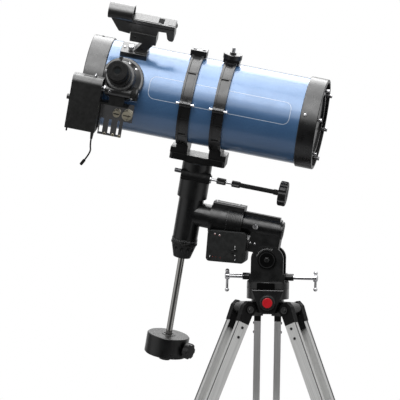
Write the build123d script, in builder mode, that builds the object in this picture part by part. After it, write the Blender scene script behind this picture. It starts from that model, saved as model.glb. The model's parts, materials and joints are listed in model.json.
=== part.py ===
"""A short reflecting telescope on a motor-driven equatorial mount and a folding aluminium tripod."""

from build123d import *
import math
import os

os.makedirs("parts", exist_ok=True)

# Driving dimensions, in millimetres and degrees
# Tripod
LEG_LENGTH = 680.0
SPLAY = 23.6
TRIPOD_TURN = 6.0
HINGE_RADIUS = 52.0
HINGE_PIN = 8.0
TONGUE = 24.0
BAR_WIDE = 12.5
BAR_DEEP = 21.0
BAR_WALL = 1.6
BAR_GAP = 25.0
BAR_TOP = 27.0
FOOT_SHOWN = 95.0
SLIDER_LONG = 430.0
SLIDER_DEEP = 16.0
SLIDER_WALL = 1.6
COLLAR_LONG = 42.0
FOOT_LONG = 46.0
STRUT_SHARE = 0.485
STRUT_OUT = 24.0
STRUT_RISE = 25.0
STRUT_PIN = 5.0
TRAY_LUG_RADIUS = 40.0
TRAY_FLAT = 54.0
TRAY_HOLE = 16.0
HUB_DIAMETER = 78.0
HUB_TOP = 37.0
HUB_LOW = -7.0
KNOB_UP = 14.0
SPIGOT = 24.0

# Mount head
BASE_STEP = 51.0
BASE_TOP = 64.0
PIVOT_UP = 90.6
PIVOT_PIN = 10.0
FORK_WIDE = 60.0
FORK_GAP = 34.0
FORK_PLATE = 7.0
T_BOLT_UP = 58.0
T_BOLT = 8.0
TAIL_THICK = 14.0
ALTITUDE = 9.5
RA_LEAN = 9.0
POLAR_UP = 55.7
DEC_BACK = 160.4
DRUM_START = 41.0
DRUM_END = 102.0
DRUM_DIAMETER = 56.0
POLAR_END = 177.0
POLAR_DIAMETER = 40.0
RA_SHAFT = 24.0
WHEEL_RADIUS = 20.0
WORM_RADIUS = 4.0
NECK_DIAMETER = 44.0
CASE_WIDE = 72.0
CASE_HIGH = 58.0
CASE_DEEP = 58.0
CASE_TILT = 3.5

# Declination head and counterweight
DEC_TOP = 100.0
DEC_STEP = 31.0
DEC_BOTTOM = 48.0
DEC_UPPER = 55.0
DEC_LOWER = 46.0
CIRCLE_LONG = 11.0
NUT_LONG = 25.0
BAR_DIAMETER = 12.0
WEIGHT_TOP = 235.0
WEIGHT_HIGH = 38.0
WEIGHT_DIAMETER = 79.0
SCREW_TURN = -26.0
WORM_UP = 75.0
SADDLE_TOP = 112.0
SADDLE_LONG = 104.0
SADDLE_WIDE = 46.0

# Optical tube
RING_FOOT = 20.0
TUBE_DIAMETER = 160.0
TUBE_WALL = 1.2
TUBE_FRONT = 228.0
TUBE_REAR = 213.0
RING_APART = 62.0
RING_WIDE = 22.0
RING_THICK = 6.0
RING_SPLIT = 10.0
FRONT_RING = 38.0
MIRROR_DIAMETER = 130.0
FOCUS_BACK = 154.0
FOCUS_TURN = 69.0
FOCUS_OUT = 106.0
FOCUS_FLANGE = 80.0
EYE_DIAMETER = 39.0
DRAW_RADIUS = 19.0
FINDER_BACK = 147.0
FINDER_TURN = 25.0

# Fits
RUN = 0.05
GAP = 0.3

# Derived places
HINGE_UP = LEG_LENGTH * math.cos(math.radians(SPLAY))
BAR_END = LEG_LENGTH - FOOT_SHOWN
SLIDER_TOP = LEG_LENGTH - SLIDER_LONG
STRUT_AT = LEG_LENGTH * STRUT_SHARE
TUBE_RADIUS = TUBE_DIAMETER / 2
TUBE_UP = SADDLE_TOP + RING_FOOT + TUBE_RADIUS
PIVOT_Z = HINGE_UP + PIVOT_UP

# Frames of the sub-assemblies
AZIMUTH = Location((0, 0, HINGE_UP))
TRIPOD = Location((0, 0, HINGE_UP), (0, 0, TRIPOD_TURN))
POLE = Location((0, 0, PIVOT_Z), (0, ALTITUDE, 0))
RA = POLE * Location((-DEC_BACK, 0, POLAR_UP), (RA_LEAN, 0, 0))
OTA = RA * Location((0, 0, TUBE_UP))
FOCUSER = OTA * Location((-FOCUS_BACK, 0, 0), (FOCUS_TURN, 0, 0))
FINDER = OTA * Location((-FINDER_BACK, 0, 0), (FINDER_TURN, 0, 0))
LEG_TURNS = {"back": 90, "left": 210, "right": 330}


def leg_frame(turn):
    """The frame of one leg, with its hinge at the origin and the leg down -Z."""
    around = TRIPOD * Location((0, 0, 0), (0, 0, turn))
    return around * Location((HINGE_RADIUS, 0, 0), (0, -SPLAY, 0))


def rod_x(x0, x1, radius, y=0, z=0, mode=Mode.ADD):
    """A round bar along X in the current part."""
    with Locations(((x0 + x1) / 2, y, z)):
        Cylinder(radius, abs(x1 - x0), rotation=(0, 90, 0), mode=mode)


def rod_y(y0, y1, radius, x=0, z=0, mode=Mode.ADD):
    """A round bar along Y in the current part."""
    with Locations((x, (y0 + y1) / 2, z)):
        Cylinder(radius, abs(y1 - y0), rotation=(90, 0, 0), mode=mode)


def rod_z(z0, z1, radius, x=0, y=0, mode=Mode.ADD):
    """A round bar along Z in the current part."""
    with Locations((x, y, (z0 + z1) / 2)):
        Cylinder(radius, abs(z1 - z0), mode=mode)


def block(x0, x1, y0, y1, z0, z1, mode=Mode.ADD):
    """A square block between two corners in the current part."""
    with Locations(((x0 + x1) / 2, (y0 + y1) / 2, (z0 + z1) / 2)):
        Box(abs(x1 - x0), abs(y1 - y0), abs(z1 - z0), mode=mode)


def finish(pieces, frame, name):
    """Place the finished pieces of one node in the assembly, label the node and write it."""
    solids = [frame * solid for piece in pieces for solid in piece.solids()]
    node = Compound(children=solids) if len(solids) > 1 else solids[0]
    node.label = name
    export_step(node, f"parts/{name}.step")


# Tripod hub with its three hinge tongues and the front boss
bar_middle = BAR_GAP / 2 + BAR_WIDE / 2
bar_outside = BAR_GAP / 2 + BAR_WIDE
with BuildPart() as hub:
    rod_z(HUB_LOW, 18, 30)
    rod_z(18, HUB_TOP, HUB_DIAMETER / 2)
    with PolarLocations(0, 3, start_angle=90):
        with Locations((HINGE_RADIUS / 2 + 8, 0, 0)):
            Box(HINGE_RADIUS - 16, TONGUE, 26)
        with Locations((HINGE_RADIUS, 0, 0)):
            Cylinder(13, TONGUE, rotation=(90, 0, 0))
        with Locations((HINGE_RADIUS, 0, 0)):
            Cylinder(HINGE_PIN / 2, TONGUE + 2, rotation=(90, 0, 0), mode=Mode.SUBTRACT)
    with BuildSketch(Plane.XZ.offset(25)):
        with BuildLine():
            Polyline((-13, HUB_LOW), (13, HUB_LOW), (29, HUB_TOP), (-29, HUB_TOP), close=True)
        make_face()
    extrude(amount=23)
    fillet(hub.edges().filter_by(Axis.X).group_by(Axis.Y)[0], 2.0)
    rod_z(HUB_LOW - 1, HUB_TOP, SPIGOT / 2 + RUN, mode=Mode.SUBTRACT)
    rod_z(HUB_LOW - 10, HUB_LOW + 10, 18, mode=Mode.SUBTRACT)
    rod_y(-52, -10, 4 + RUN, z=KNOB_UP, mode=Mode.SUBTRACT)
with BuildPart() as hinge_bolts:
    with PolarLocations(0, 3, start_angle=90):
        with Locations((HINGE_RADIUS, 0, 0)):
            Cylinder(HINGE_PIN / 2, 2 * (bar_outside + 3 * GAP), rotation=(90, 0, 0))
        for side in (-1, 1):
            with Locations((HINGE_RADIUS, side * (bar_outside + GAP + 2), 0)):
                Cylinder(6.5, 4, rotation=(90, 0, 0))
finish([hub.part, hinge_bolts.part], TRIPOD, "tripod_hub")

# Azimuth clamp knob in the front boss, with its coloured cap
with BuildPart() as azimuth_knob:
    rod_y(-48.5, -SPIGOT / 2 - 0.5, 4, z=KNOB_UP)
    rod_y(-62, -48.5, 14, z=KNOB_UP)
    fillet(azimuth_knob.edges().filter_by(GeomType.CIRCLE).group_by(Axis.Y)[0], 2.5)
    rod_y(-62, -60.5, 9.4, z=KNOB_UP, mode=Mode.SUBTRACT)
finish([azimuth_knob.part], TRIPOD, "azimuth_knob")
with BuildPart() as azimuth_cap:
    rod_y(-63.5, -60.5, 9.4, z=KNOB_UP)
    fillet(azimuth_cap.edges().group_by(Axis.Y)[0], 1.2)
finish([azimuth_cap.part], TRIPOD, "azimuth_knob_cap")

# One leg: fittings, twin bars, slider with rubber foot, clamp knob and strut
head_inside = TONGUE / 2 + GAP
head_thick = bar_outside - head_inside
with BuildPart() as leg_head:
    for start in (head_inside, -bar_outside):
        with BuildSketch(Plane.XZ.offset(start)):
            with BuildLine():
                Polyline(
                    (-BAR_DEEP / 2, -BAR_TOP), (BAR_DEEP / 2 + 1, -BAR_TOP), (BAR_DEEP / 2 + 3, 2),
                    (BAR_DEEP / 2 - 2, 13), (0, 13), (-BAR_DEEP / 2, 0), close=True,
                )
            make_face()
            Circle(13)
        extrude(amount=head_thick)
    fillet(leg_head.edges().filter_by(Axis.Y).group_by(Axis.X)[-1], 4)
    for side in (-1, 1):
        block(
            -BAR_DEEP / 2 + BAR_WALL, BAR_DEEP / 2 - BAR_WALL,
            side * BAR_GAP / 2, side * (bar_outside - BAR_WALL),
            -BAR_TOP - 12, -BAR_TOP,
        )
    rod_y(-2 * bar_outside, 2 * bar_outside, HINGE_PIN / 2 + RUN, mode=Mode.SUBTRACT)
with BuildPart() as collar:
    block(
        -BAR_DEEP / 2 - 3.5, BAR_DEEP / 2 + 4.5, -bar_outside - 4, bar_outside + 4,
        -BAR_END - 15, -BAR_END + COLLAR_LONG - 15,
    )
    fillet(collar.edges().filter_by(Axis.Z), 4)
    for side in (-1, 1):
        block(
            -BAR_DEEP / 2, BAR_DEEP / 2, side * BAR_GAP / 2, side * bar_outside,
            -BAR_END, -BAR_END + 60, mode=Mode.SUBTRACT,
        )
    block(
        -SLIDER_DEEP / 2 - GAP, SLIDER_DEEP / 2 + GAP, -BAR_GAP / 2, BAR_GAP / 2,
        -BAR_END - 20, -BAR_END + 60, mode=Mode.SUBTRACT,
    )
    rod_x(5, BAR_DEEP / 2 + 8, 4 + RUN, z=-BAR_END + 6, mode=Mode.SUBTRACT)
strut_x = -STRUT_OUT
with BuildPart() as brace:
    block(-BAR_DEEP / 2 - 4, -BAR_DEEP / 2, -bar_outside, bar_outside, -STRUT_AT - 14, -STRUT_AT + 14)
    block(strut_x, -BAR_DEEP / 2 - 3, -4, 4, -STRUT_AT - 7, -STRUT_AT + 7)
    rod_y(-4, 4, 7, x=strut_x, z=-STRUT_AT)
    rod_y(-6, 6, STRUT_PIN / 2 + RUN, x=strut_x, z=-STRUT_AT, mode=Mode.SUBTRACT)
with BuildPart() as bars:
    for side in (-1, 1):
        with BuildSketch(Plane.XY.offset(-BAR_END)):
            with Locations((0, side * bar_middle)):
                Rectangle(BAR_DEEP, BAR_WIDE)
            with Locations((0, side * (bar_middle - BAR_WALL))):
                Rectangle(BAR_DEEP - 2 * BAR_WALL, BAR_WIDE, mode=Mode.SUBTRACT)
        extrude(amount=BAR_END - BAR_TOP)
with BuildPart() as slider:
    with BuildSketch(Plane.XY.offset(-LEG_LENGTH + 16)):
        Rectangle(SLIDER_DEEP, BAR_GAP - 2 * GAP)
        Rectangle(SLIDER_DEEP - 2 * SLIDER_WALL, BAR_GAP - 2 * GAP - 2 * SLIDER_WALL, mode=Mode.SUBTRACT)
    extrude(amount=LEG_LENGTH - 16 - SLIDER_TOP)
lean = math.radians(SPLAY)
with BuildPart() as foot:
    with BuildSketch(Plane.XY.offset(-LEG_LENGTH - 20)):
        RectangleRounded(SLIDER_DEEP + 8, BAR_GAP + 8, 5)
    extrude(amount=20 + FOOT_LONG)
    split(bisect_by=Plane((0, 0, -LEG_LENGTH), z_dir=(math.sin(lean), 0, math.cos(lean))), keep=Keep.TOP)
    block(
        -SLIDER_DEEP / 2, SLIDER_DEEP / 2, -BAR_GAP / 2 + GAP, BAR_GAP / 2 - GAP,
        -LEG_LENGTH + 16, 0, mode=Mode.SUBTRACT,
    )
with BuildPart() as leg_knob:
    knob_x = BAR_DEEP / 2 + 4.5 + GAP
    rod_x(SLIDER_DEEP / 2 + 0.4, knob_x + 2, 4, z=-BAR_END + 6)
    rod_x(knob_x, knob_x + 13, 8, z=-BAR_END + 6)
    block(knob_x + 5, knob_x + 23, -4, 4, -BAR_END - 10, -BAR_END + 22)
    fillet(leg_knob.edges().filter_by(Axis.Y), 3)

# The strut runs from the brace up to the tray, at its own angle from level
strut_angle = math.radians(STRUT_RISE)
strut_foot = (
    HINGE_RADIUS + STRUT_AT * math.sin(lean) - STRUT_OUT * math.cos(lean),
    -STRUT_AT * math.cos(lean) - STRUT_OUT * math.sin(lean),
)
STRUT_LONG = (strut_foot[0] - TRAY_LUG_RADIUS) / math.cos(strut_angle)
TRAY_PIVOT = strut_foot[1] + STRUT_LONG * math.sin(strut_angle)
with BuildPart() as strut:
    for side in (-1, 1):
        y0 = side * (4 + 2 * GAP)
        y1 = side * (7 + 2 * GAP)
        block(0, STRUT_LONG, y0, y1, -5.5, 5.5)
        rod_y(y0, y1, 6.5)
        rod_y(y0, y1, 5.5, x=STRUT_LONG)
    rod_y(-7, 7, STRUT_PIN / 2)
    rod_y(-7, 7, STRUT_PIN / 2, x=STRUT_LONG)
    block(STRUT_LONG * 0.3, STRUT_LONG * 0.5, -5, 5, -5.5, -3.5)

for side, turn in LEG_TURNS.items():
    frame = leg_frame(turn)
    around = TRIPOD * Location((0, 0, 0), (0, 0, turn))
    finish([leg_head.part, collar.part, brace.part], frame, f"leg_{side}_fittings")
    finish([bars.part], frame, f"leg_{side}_bars")
    finish([slider.part, foot.part], frame, f"leg_{side}_slider")
    finish([leg_knob.part], frame, f"leg_{side}_knob")
    strut_frame = around * Location((strut_foot[0], 0, strut_foot[1]), (0, 180 + STRUT_RISE, 0))
    finish([strut.part], strut_frame, f"leg_{side}_strut")

# Accessory tray: a rounded triangle with three lugs below it
with BuildPart() as tray:
    with BuildSketch(Plane.XY.offset(TRAY_PIVOT + 12)):
        RegularPolygon(2 * TRAY_FLAT, 3, rotation=30)
    extrude(amount=3)
    fillet(tray.edges().filter_by(Axis.Z), 22)
    lug_wide = 2 * (4 + 2 * GAP - RUN)
    with PolarLocations(0, 3, start_angle=90):
        with Locations((TRAY_LUG_RADIUS, 0, TRAY_PIVOT)):
            Cylinder(12, lug_wide, rotation=(90, 0, 0))
        with Locations((TRAY_LUG_RADIUS, 0, TRAY_PIVOT + 6.5)):
            Box(24, lug_wide, 13)
        with Locations((TRAY_LUG_RADIUS, 0, TRAY_PIVOT)):
            Cylinder(TRAY_HOLE / 2, lug_wide + 2, rotation=(90, 0, 0), mode=Mode.SUBTRACT)
finish([tray.part], TRIPOD, "accessory_tray")

# Azimuth base with its fork and the latitude pivot
fork_half = FORK_GAP / 2
with BuildPart() as base:
    rod_z(HUB_TOP + GAP, BASE_STEP, HUB_DIAMETER / 2)
    fillet(base.edges().group_by(Axis.Z)[-1], 3)
    rod_z(HUB_LOW + 4, HUB_TOP + 1, SPIGOT / 2)
    base_half = fork_half + FORK_PLATE
    block(-FORK_WIDE / 2 - 3, FORK_WIDE / 2 + 3, -base_half, base_half, BASE_STEP - 4, BASE_TOP)
    for y in (-fork_half, fork_half + FORK_PLATE):
        with BuildSketch(Plane.XZ.offset(-y)) as cheek:
            with Locations((0, (HUB_TOP + 13 + PIVOT_UP + 23.5) / 2)):
                Rectangle(FORK_WIDE, PIVOT_UP + 23.5 - HUB_TOP - 13)
            fillet(cheek.vertices().group_by(Axis.Y)[-1], 22)
        extrude(amount=FORK_PLATE)
    rod_x(-47, -28, 6.5, z=T_BOLT_UP)
    rod_x(28, 47, 6.5, z=T_BOLT_UP)
    block(-30, 10, -14, 14, HUB_TOP + 12, BASE_TOP + 1, mode=Mode.SUBTRACT)
    rod_x(-50, -25, T_BOLT / 2 + 2 * RUN, z=T_BOLT_UP, mode=Mode.SUBTRACT)
    rod_x(8, 50, T_BOLT / 2 + 2 * RUN, z=T_BOLT_UP, mode=Mode.SUBTRACT)
    rod_y(-40, 40, PIVOT_PIN / 2, z=PIVOT_UP, mode=Mode.SUBTRACT)
with BuildPart() as pivot:
    rod_y(-fork_half - FORK_PLATE, fork_half + FORK_PLATE, PIVOT_PIN / 2, z=PIVOT_UP)
    for side in (-1, 1):
        rod_y(side * (fork_half + FORK_PLATE), side * (fork_half + FORK_PLATE + 5), 17, z=PIVOT_UP)
with BuildPart() as azimuth_nut:
    rod_z(HUB_LOW + 1, HUB_LOW + 10 - GAP, 17)
    rod_z(HUB_LOW + 4, HUB_LOW + 11, SPIGOT / 2, mode=Mode.SUBTRACT)
finish([base.part, pivot.part, azimuth_nut.part], AZIMUTH, "azimuth_base")

# Latitude bolts with hanging bars, one from each side of the tail
tip = TAIL_THICK / 2 + GAP
for name, way, reach, hang in (("front", -1, 72, 26), ("rear", 1, 84, 21)):
    with BuildPart() as t_bolt:
        rod_x(way * (tip + T_BOLT / 2), way * reach, T_BOLT / 2, z=T_BOLT_UP)
        with Locations((way * (tip + T_BOLT / 2), 0, T_BOLT_UP)):
            Sphere(T_BOLT / 2)
        rod_x(way * reach, way * (reach + 8), 7, z=T_BOLT_UP)
        fillet(t_bolt.edges().filter_by(GeomType.CIRCLE).group_by(Axis.X)[-1 if way > 0 else 0], 2.5)
        rod_z(T_BOLT_UP - hang, T_BOLT_UP + 9, 2.5, x=way * (reach + 4))
        for z in (T_BOLT_UP - hang, T_BOLT_UP + 9):
            with Locations((way * (reach + 4), 0, z)):
                Sphere(4)
    finish([t_bolt.part], AZIMUTH, f"latitude_bolt_{name}")

# Polar housing: latitude block, tail, worm drum and shaft housing
x0 = -DEC_BACK
slant = math.radians(ALTITUDE)
lat_half = fork_half - GAP
circle_start = x0 + DRUM_START + 31
circle_end = x0 + DRUM_END - 3
circle_core = DRUM_DIAMETER / 2 - 5
worm_out = WHEEL_RADIUS + WORM_RADIUS + 2 * GAP
worm_x = x0 + DRUM_START + 12
clamp_x = x0 + DRUM_END + 26
with BuildPart() as polar:
    with BuildSketch(Plane.XZ.offset(lat_half)):
        Circle(20)
        with Locations((-4, POLAR_UP / 2)):
            Rectangle(40, POLAR_UP)
        with Locations((-20, POLAR_UP / 2 + 4)):
            Rectangle(40, POLAR_UP - 8)
    extrude(amount=-2 * lat_half)
    tail_plane = Plane((0, 13.5, 0), x_dir=(math.cos(slant), 0, math.sin(slant)), z_dir=(0, -1, 0))
    with BuildSketch(tail_plane):
        with Locations((0, -19)):
            Rectangle(TAIL_THICK, 38)
    extrude(amount=27)
    rod_x(x0 + DRUM_END, x0 + POLAR_END - 4, POLAR_DIAMETER / 2, z=POLAR_UP)
    rod_x(x0 + POLAR_END - 4, x0 + POLAR_END, POLAR_DIAMETER / 2 - 3, z=POLAR_UP)
    block(x0 + DRUM_END, x0 + POLAR_END - 8, -10, 10, POLAR_UP + 15, POLAR_UP + 23)
    rod_x(x0 + DRUM_START, x0 + DRUM_END, DRUM_DIAMETER / 2, z=POLAR_UP)
    block(x0 + DRUM_START + 2, x0 + DRUM_END, -20, 20, POLAR_UP + 10, POLAR_UP + 32)
    fillet(polar.edges().filter_by(Axis.X).group_by(Axis.Z)[-1], 4)
    rod_x(circle_start, circle_end, DRUM_DIAMETER / 2 + 2 * GAP, z=POLAR_UP, mode=Mode.SUBTRACT)
    rod_x(circle_start - 1, circle_end + 1, circle_core, z=POLAR_UP)
    rod_x(x0 + DRUM_START - 1, worm_x + 13, WHEEL_RADIUS + 1.5, z=POLAR_UP, mode=Mode.SUBTRACT)
    rod_y(-18, 21, WORM_RADIUS + 1.5, x=worm_x, z=POLAR_UP + worm_out, mode=Mode.SUBTRACT)
    rod_x(worm_x + 7, x0 + POLAR_END - 8, RA_SHAFT / 2 + RUN, z=POLAR_UP, mode=Mode.SUBTRACT)
    rod_y(-POLAR_DIAMETER, 0, 2.5 + RUN, x=clamp_x, z=POLAR_UP, mode=Mode.SUBTRACT)
    rod_y(-30, 30, PIVOT_PIN / 2 + RUN, mode=Mode.SUBTRACT)
finish([polar.part], POLE, "polar_housing")

with BuildPart() as ra_circle:
    rod_x(circle_start + GAP, circle_end - GAP, DRUM_DIAMETER / 2, z=POLAR_UP)
    rod_x(circle_start, circle_end, circle_core + RUN, z=POLAR_UP, mode=Mode.SUBTRACT)
finish([ra_circle.part], POLE, "ra_setting_circle")

with BuildPart() as ra_worm:
    rod_y(-17, 20.3, 3, x=worm_x, z=POLAR_UP + worm_out)
    rod_y(-10, 10, WORM_RADIUS, x=worm_x, z=POLAR_UP + worm_out)
    rod_y(-17, -12, WORM_RADIUS + 1.5 - RUN, x=worm_x, z=POLAR_UP + worm_out)
    rod_y(12, 20.3, WORM_RADIUS + 1.5 - RUN, x=worm_x, z=POLAR_UP + worm_out)
finish([ra_worm.part], POLE, "ra_worm")

with BuildPart() as ra_clamp:
    rod_y(-POLAR_DIAMETER / 2 - 2, -RA_SHAFT / 2 - 0.5, 2.5, x=clamp_x, z=POLAR_UP)
    rod_y(-POLAR_DIAMETER / 2 - 9, -POLAR_DIAMETER / 2 - GAP, 5, x=clamp_x, z=POLAR_UP)
    chamfer(ra_clamp.edges().group_by(Axis.Y)[0], 1)
finish([ra_clamp.part], POLE, "ra_clamp_screw")

# Drive case hung under the drum, with its slide switch
case_x = x0 + DRUM_START + 41.5
case_y = -9
case_z = POLAR_UP - DRUM_DIAMETER / 2 - 17.3
tip_back = math.radians(CASE_TILT - ALTITUDE)
case_dir = (math.cos(tip_back), 0, -math.sin(tip_back))
case_face = Plane((case_x, case_y - CASE_DEEP / 2, case_z), x_dir=case_dir, z_dir=(0, -1, 0))
with BuildPart() as drive_case:
    with BuildSketch(case_face):
        RectangleRounded(CASE_WIDE, CASE_HIGH, 7)
    extrude(amount=-CASE_DEEP)
    chamfer(drive_case.edges().group_by(Axis.Y)[0], 2)
    rod_x(x0, circle_start, DRUM_DIAMETER / 2, z=POLAR_UP, mode=Mode.SUBTRACT)
    rod_x(circle_start - 1, x0 + 140, DRUM_DIAMETER / 2 + 4 * GAP, z=POLAR_UP, mode=Mode.SUBTRACT)
    with BuildSketch(case_face):
        with Locations((16, -8)):
            Rectangle(12, 6)
    extrude(amount=-3, mode=Mode.SUBTRACT)
finish([drive_case.part], POLE, "drive_case")
with BuildPart() as drive_switch:
    with BuildSketch(case_face.offset(-2.7)):
        with Locations((13, -8)):
            Rectangle(5, 5.4)
    extrude(amount=4.5)
finish([drive_switch.part], POLE, "drive_switch")

# Polar shaft with its worm wheel
with BuildPart() as ra_shaft:
    rod_x(20, POLAR_END - 10, RA_SHAFT / 2)
with BuildPart() as ra_wheel:
    rod_x(DRUM_START + 5, DRUM_START + 19, WHEEL_RADIUS)
    rod_x(DRUM_START + 4, DRUM_START + 20, RA_SHAFT / 2, mode=Mode.SUBTRACT)
finish([ra_shaft.part, ra_wheel.part], RA, "ra_axis")

# Declination housing with its neck and worm bulge
dec_wheel = 16.0
dec_worm = -(dec_wheel + WORM_RADIUS + 2 * GAP)
with BuildPart() as dec_housing:
    rod_z(DEC_STEP, DEC_TOP, DEC_UPPER / 2)
    rod_z(-DEC_BOTTOM, DEC_STEP, DEC_LOWER / 2)
    chamfer(dec_housing.edges().filter_by(GeomType.CIRCLE).group_by(Axis.Z)[-1], 1.5)
    rod_x(0, DRUM_START - GAP, NECK_DIAMETER / 2)
    rod_x(-24, 30, 10, y=dec_worm, z=WORM_UP)
    rod_z(-DEC_BOTTOM - 22, -DEC_BOTTOM, 11)
    rod_z(-30, DEC_TOP, RA_SHAFT / 2 + RUN, mode=Mode.SUBTRACT)
    rod_z(WORM_UP - 10, DEC_TOP, dec_wheel + 1.5, mode=Mode.SUBTRACT)
    rod_x(-20, 31, WORM_RADIUS + 1.5, y=dec_worm, z=WORM_UP, mode=Mode.SUBTRACT)
    rod_x(20, DRUM_START, RA_SHAFT / 2, mode=Mode.SUBTRACT)
    rod_x(-40, -10, 2.5 + RUN, z=WORM_UP, mode=Mode.SUBTRACT)
    rod_z(-DEC_BOTTOM - 23, -DEC_BOTTOM - 10, BAR_DIAMETER / 2, mode=Mode.SUBTRACT)
finish([dec_housing.part], RA, "dec_housing")

with BuildPart() as dec_clamp:
    rod_x(-29, -dec_wheel - 0.5, 2.5, z=WORM_UP)
    rod_x(-40, -DEC_UPPER / 2 - GAP, 4, z=WORM_UP)
    chamfer(dec_clamp.edges().group_by(Axis.X)[0], 1)
finish([dec_clamp.part], RA, "dec_clamp_screw")

# Slow-motion control: worm, coupling, flexible cable and knob
with BuildPart() as slow_shaft:
    for start, end, radius in (
        (-19, 30.4, 3),
        (-12, 12, WORM_RADIUS),
        (-19, -14, WORM_RADIUS + 1.5 - RUN),
        (14, 30.4, WORM_RADIUS + 1.5 - RUN),
        (30.4, 32.5, 7.5),
        (32, 152, 2.5),
        (43, 60, 5.5),
        (71, 87, 5.5),
        (87, 152, 4),
        (150, 160, 5.2),
        (160, 172, 2.5),
    ):
        rod_x(start, end, radius, y=dec_worm, z=WORM_UP)
finish([slow_shaft.part], RA, "slow_motion_cable")
with BuildPart() as slow_knob:
    rod_x(160, 175, 23, y=dec_worm, z=WORM_UP)
    fillet(slow_knob.edges().filter_by(GeomType.CIRCLE), 3)
    with Locations(Location((167, dec_worm, WORM_UP), (0, 90, 0))):
        with PolarLocations(25.5, 10):
            Cylinder(5, 20, mode=Mode.SUBTRACT)
    rod_x(159, 172, 2.5, y=dec_worm, z=WORM_UP, mode=Mode.SUBTRACT)
finish([slow_knob.part], RA, "slow_motion_knob")

# Declination circle, fluted nut, counterweight bar and counterweight
circle_top = -DEC_BOTTOM - GAP
circle_low = circle_top - CIRCLE_LONG
with BuildPart() as dec_circle:
    rod_z(circle_low, circle_top, DEC_LOWER / 2 + 0.8)
    rod_z(circle_low - 1, circle_top + 1, 11 + RUN, mode=Mode.SUBTRACT)
finish([dec_circle.part], RA, "dec_setting_circle")
nut_top = circle_low - GAP
nut_low = nut_top - NUT_LONG
with BuildPart() as bar_nut:
    with Locations((0, 0, (nut_top + nut_low) / 2)):
        Cone(16, DEC_LOWER / 2, NUT_LONG)
    with PolarLocations(DEC_LOWER / 2 - 1, 12):
        with Locations((0, 0, (nut_top + nut_low) / 2)):
            Cylinder(2.6, NUT_LONG + 1, rotation=(0, -16, 0), mode=Mode.SUBTRACT)
    rod_z(-DEC_BOTTOM - 22, nut_top + 1, 11, mode=Mode.SUBTRACT)
    rod_z(nut_low - 1, nut_top, BAR_DIAMETER / 2, mode=Mode.SUBTRACT)
finish([bar_nut.part], RA, "counterweight_nut")
weight_low = -WEIGHT_TOP - WEIGHT_HIGH
with BuildPart() as weight_bar:
    rod_z(weight_low - 3, -DEC_BOTTOM - 10, BAR_DIAMETER / 2)
    rod_z(weight_low - 10, weight_low - 3, BAR_DIAMETER / 2 + 4)
finish([weight_bar.part], RA, "counterweight_bar")
screw_z = -WEIGHT_TOP - WEIGHT_HIGH / 2
with BuildPart() as weight:
    rod_z(weight_low, -WEIGHT_TOP, WEIGHT_DIAMETER / 2)
    chamfer(weight.edges(), 2)
    rod_z(weight_low - 1, 1 - WEIGHT_TOP, BAR_DIAMETER / 2 + RUN, mode=Mode.SUBTRACT)
    with Locations(Location((0, 0, screw_z), (0, 0, SCREW_TURN))):
        with Locations((WEIGHT_DIAMETER / 2, 0, 0)):
            Cylinder(3 + RUN, WEIGHT_DIAMETER, rotation=(0, 90, 0), mode=Mode.SUBTRACT)
finish([weight.part], RA, "counterweight")
grip_start = WEIGHT_DIAMETER / 2 + 4
grip_end = grip_start + 11
with BuildPart() as weight_screw:
    rod_x(grip_start, grip_end, 15)
    fillet(weight_screw.edges().filter_by(GeomType.CIRCLE), 2)
    with Locations(Location(((grip_start + grip_end) / 2, 0, 0), (0, 90, 0))):
        with PolarLocations(18, 6):
            Cylinder(6, 2 * (grip_end - grip_start), mode=Mode.SUBTRACT)
    rod_x(WEIGHT_DIAMETER / 2 + GAP, grip_start + 1, 6)
    rod_x(BAR_DIAMETER / 2 + 0.5, grip_start + 1, 3)
finish([weight_screw.part], RA * Location((0, 0, screw_z), (0, 0, SCREW_TURN)), "counterweight_screw")

# Saddle with the declination axle and its worm wheel
with BuildPart() as saddle:
    with BuildSketch(Plane.XY.offset(DEC_TOP + GAP)):
        RectangleRounded(SADDLE_LONG, SADDLE_WIDE, 6)
    extrude(amount=SADDLE_TOP - DEC_TOP - GAP)
    rod_z(-28, DEC_TOP + 1, RA_SHAFT / 2)
with BuildPart() as dec_gear:
    rod_z(WORM_UP - 7, WORM_UP + 7, dec_wheel)
    rod_z(WORM_UP - 8, WORM_UP + 8, RA_SHAFT / 2, mode=Mode.SUBTRACT)
finish([saddle.part, dec_gear.part], RA, "saddle")

# Tube rings: lower halves with feet and hinge pins
ring_out = TUBE_RADIUS + RING_THICK
ring_xs = (-RING_APART / 2, RING_APART / 2)
hinge_y = -ring_out - 5
ear_y = ring_out + 7


def ring_band(x, inside):
    """A ring of channel section around the tube at x."""
    rod_x(x - RING_WIDE / 2, x + RING_WIDE / 2, ring_out - 2)
    rod_x(x - RING_WIDE / 2, x - RING_WIDE / 2 + 4, ring_out)
    rod_x(x + RING_WIDE / 2 - 4, x + RING_WIDE / 2, ring_out)
    rod_x(x - RING_WIDE, x + RING_WIDE, inside, mode=Mode.SUBTRACT)


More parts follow.
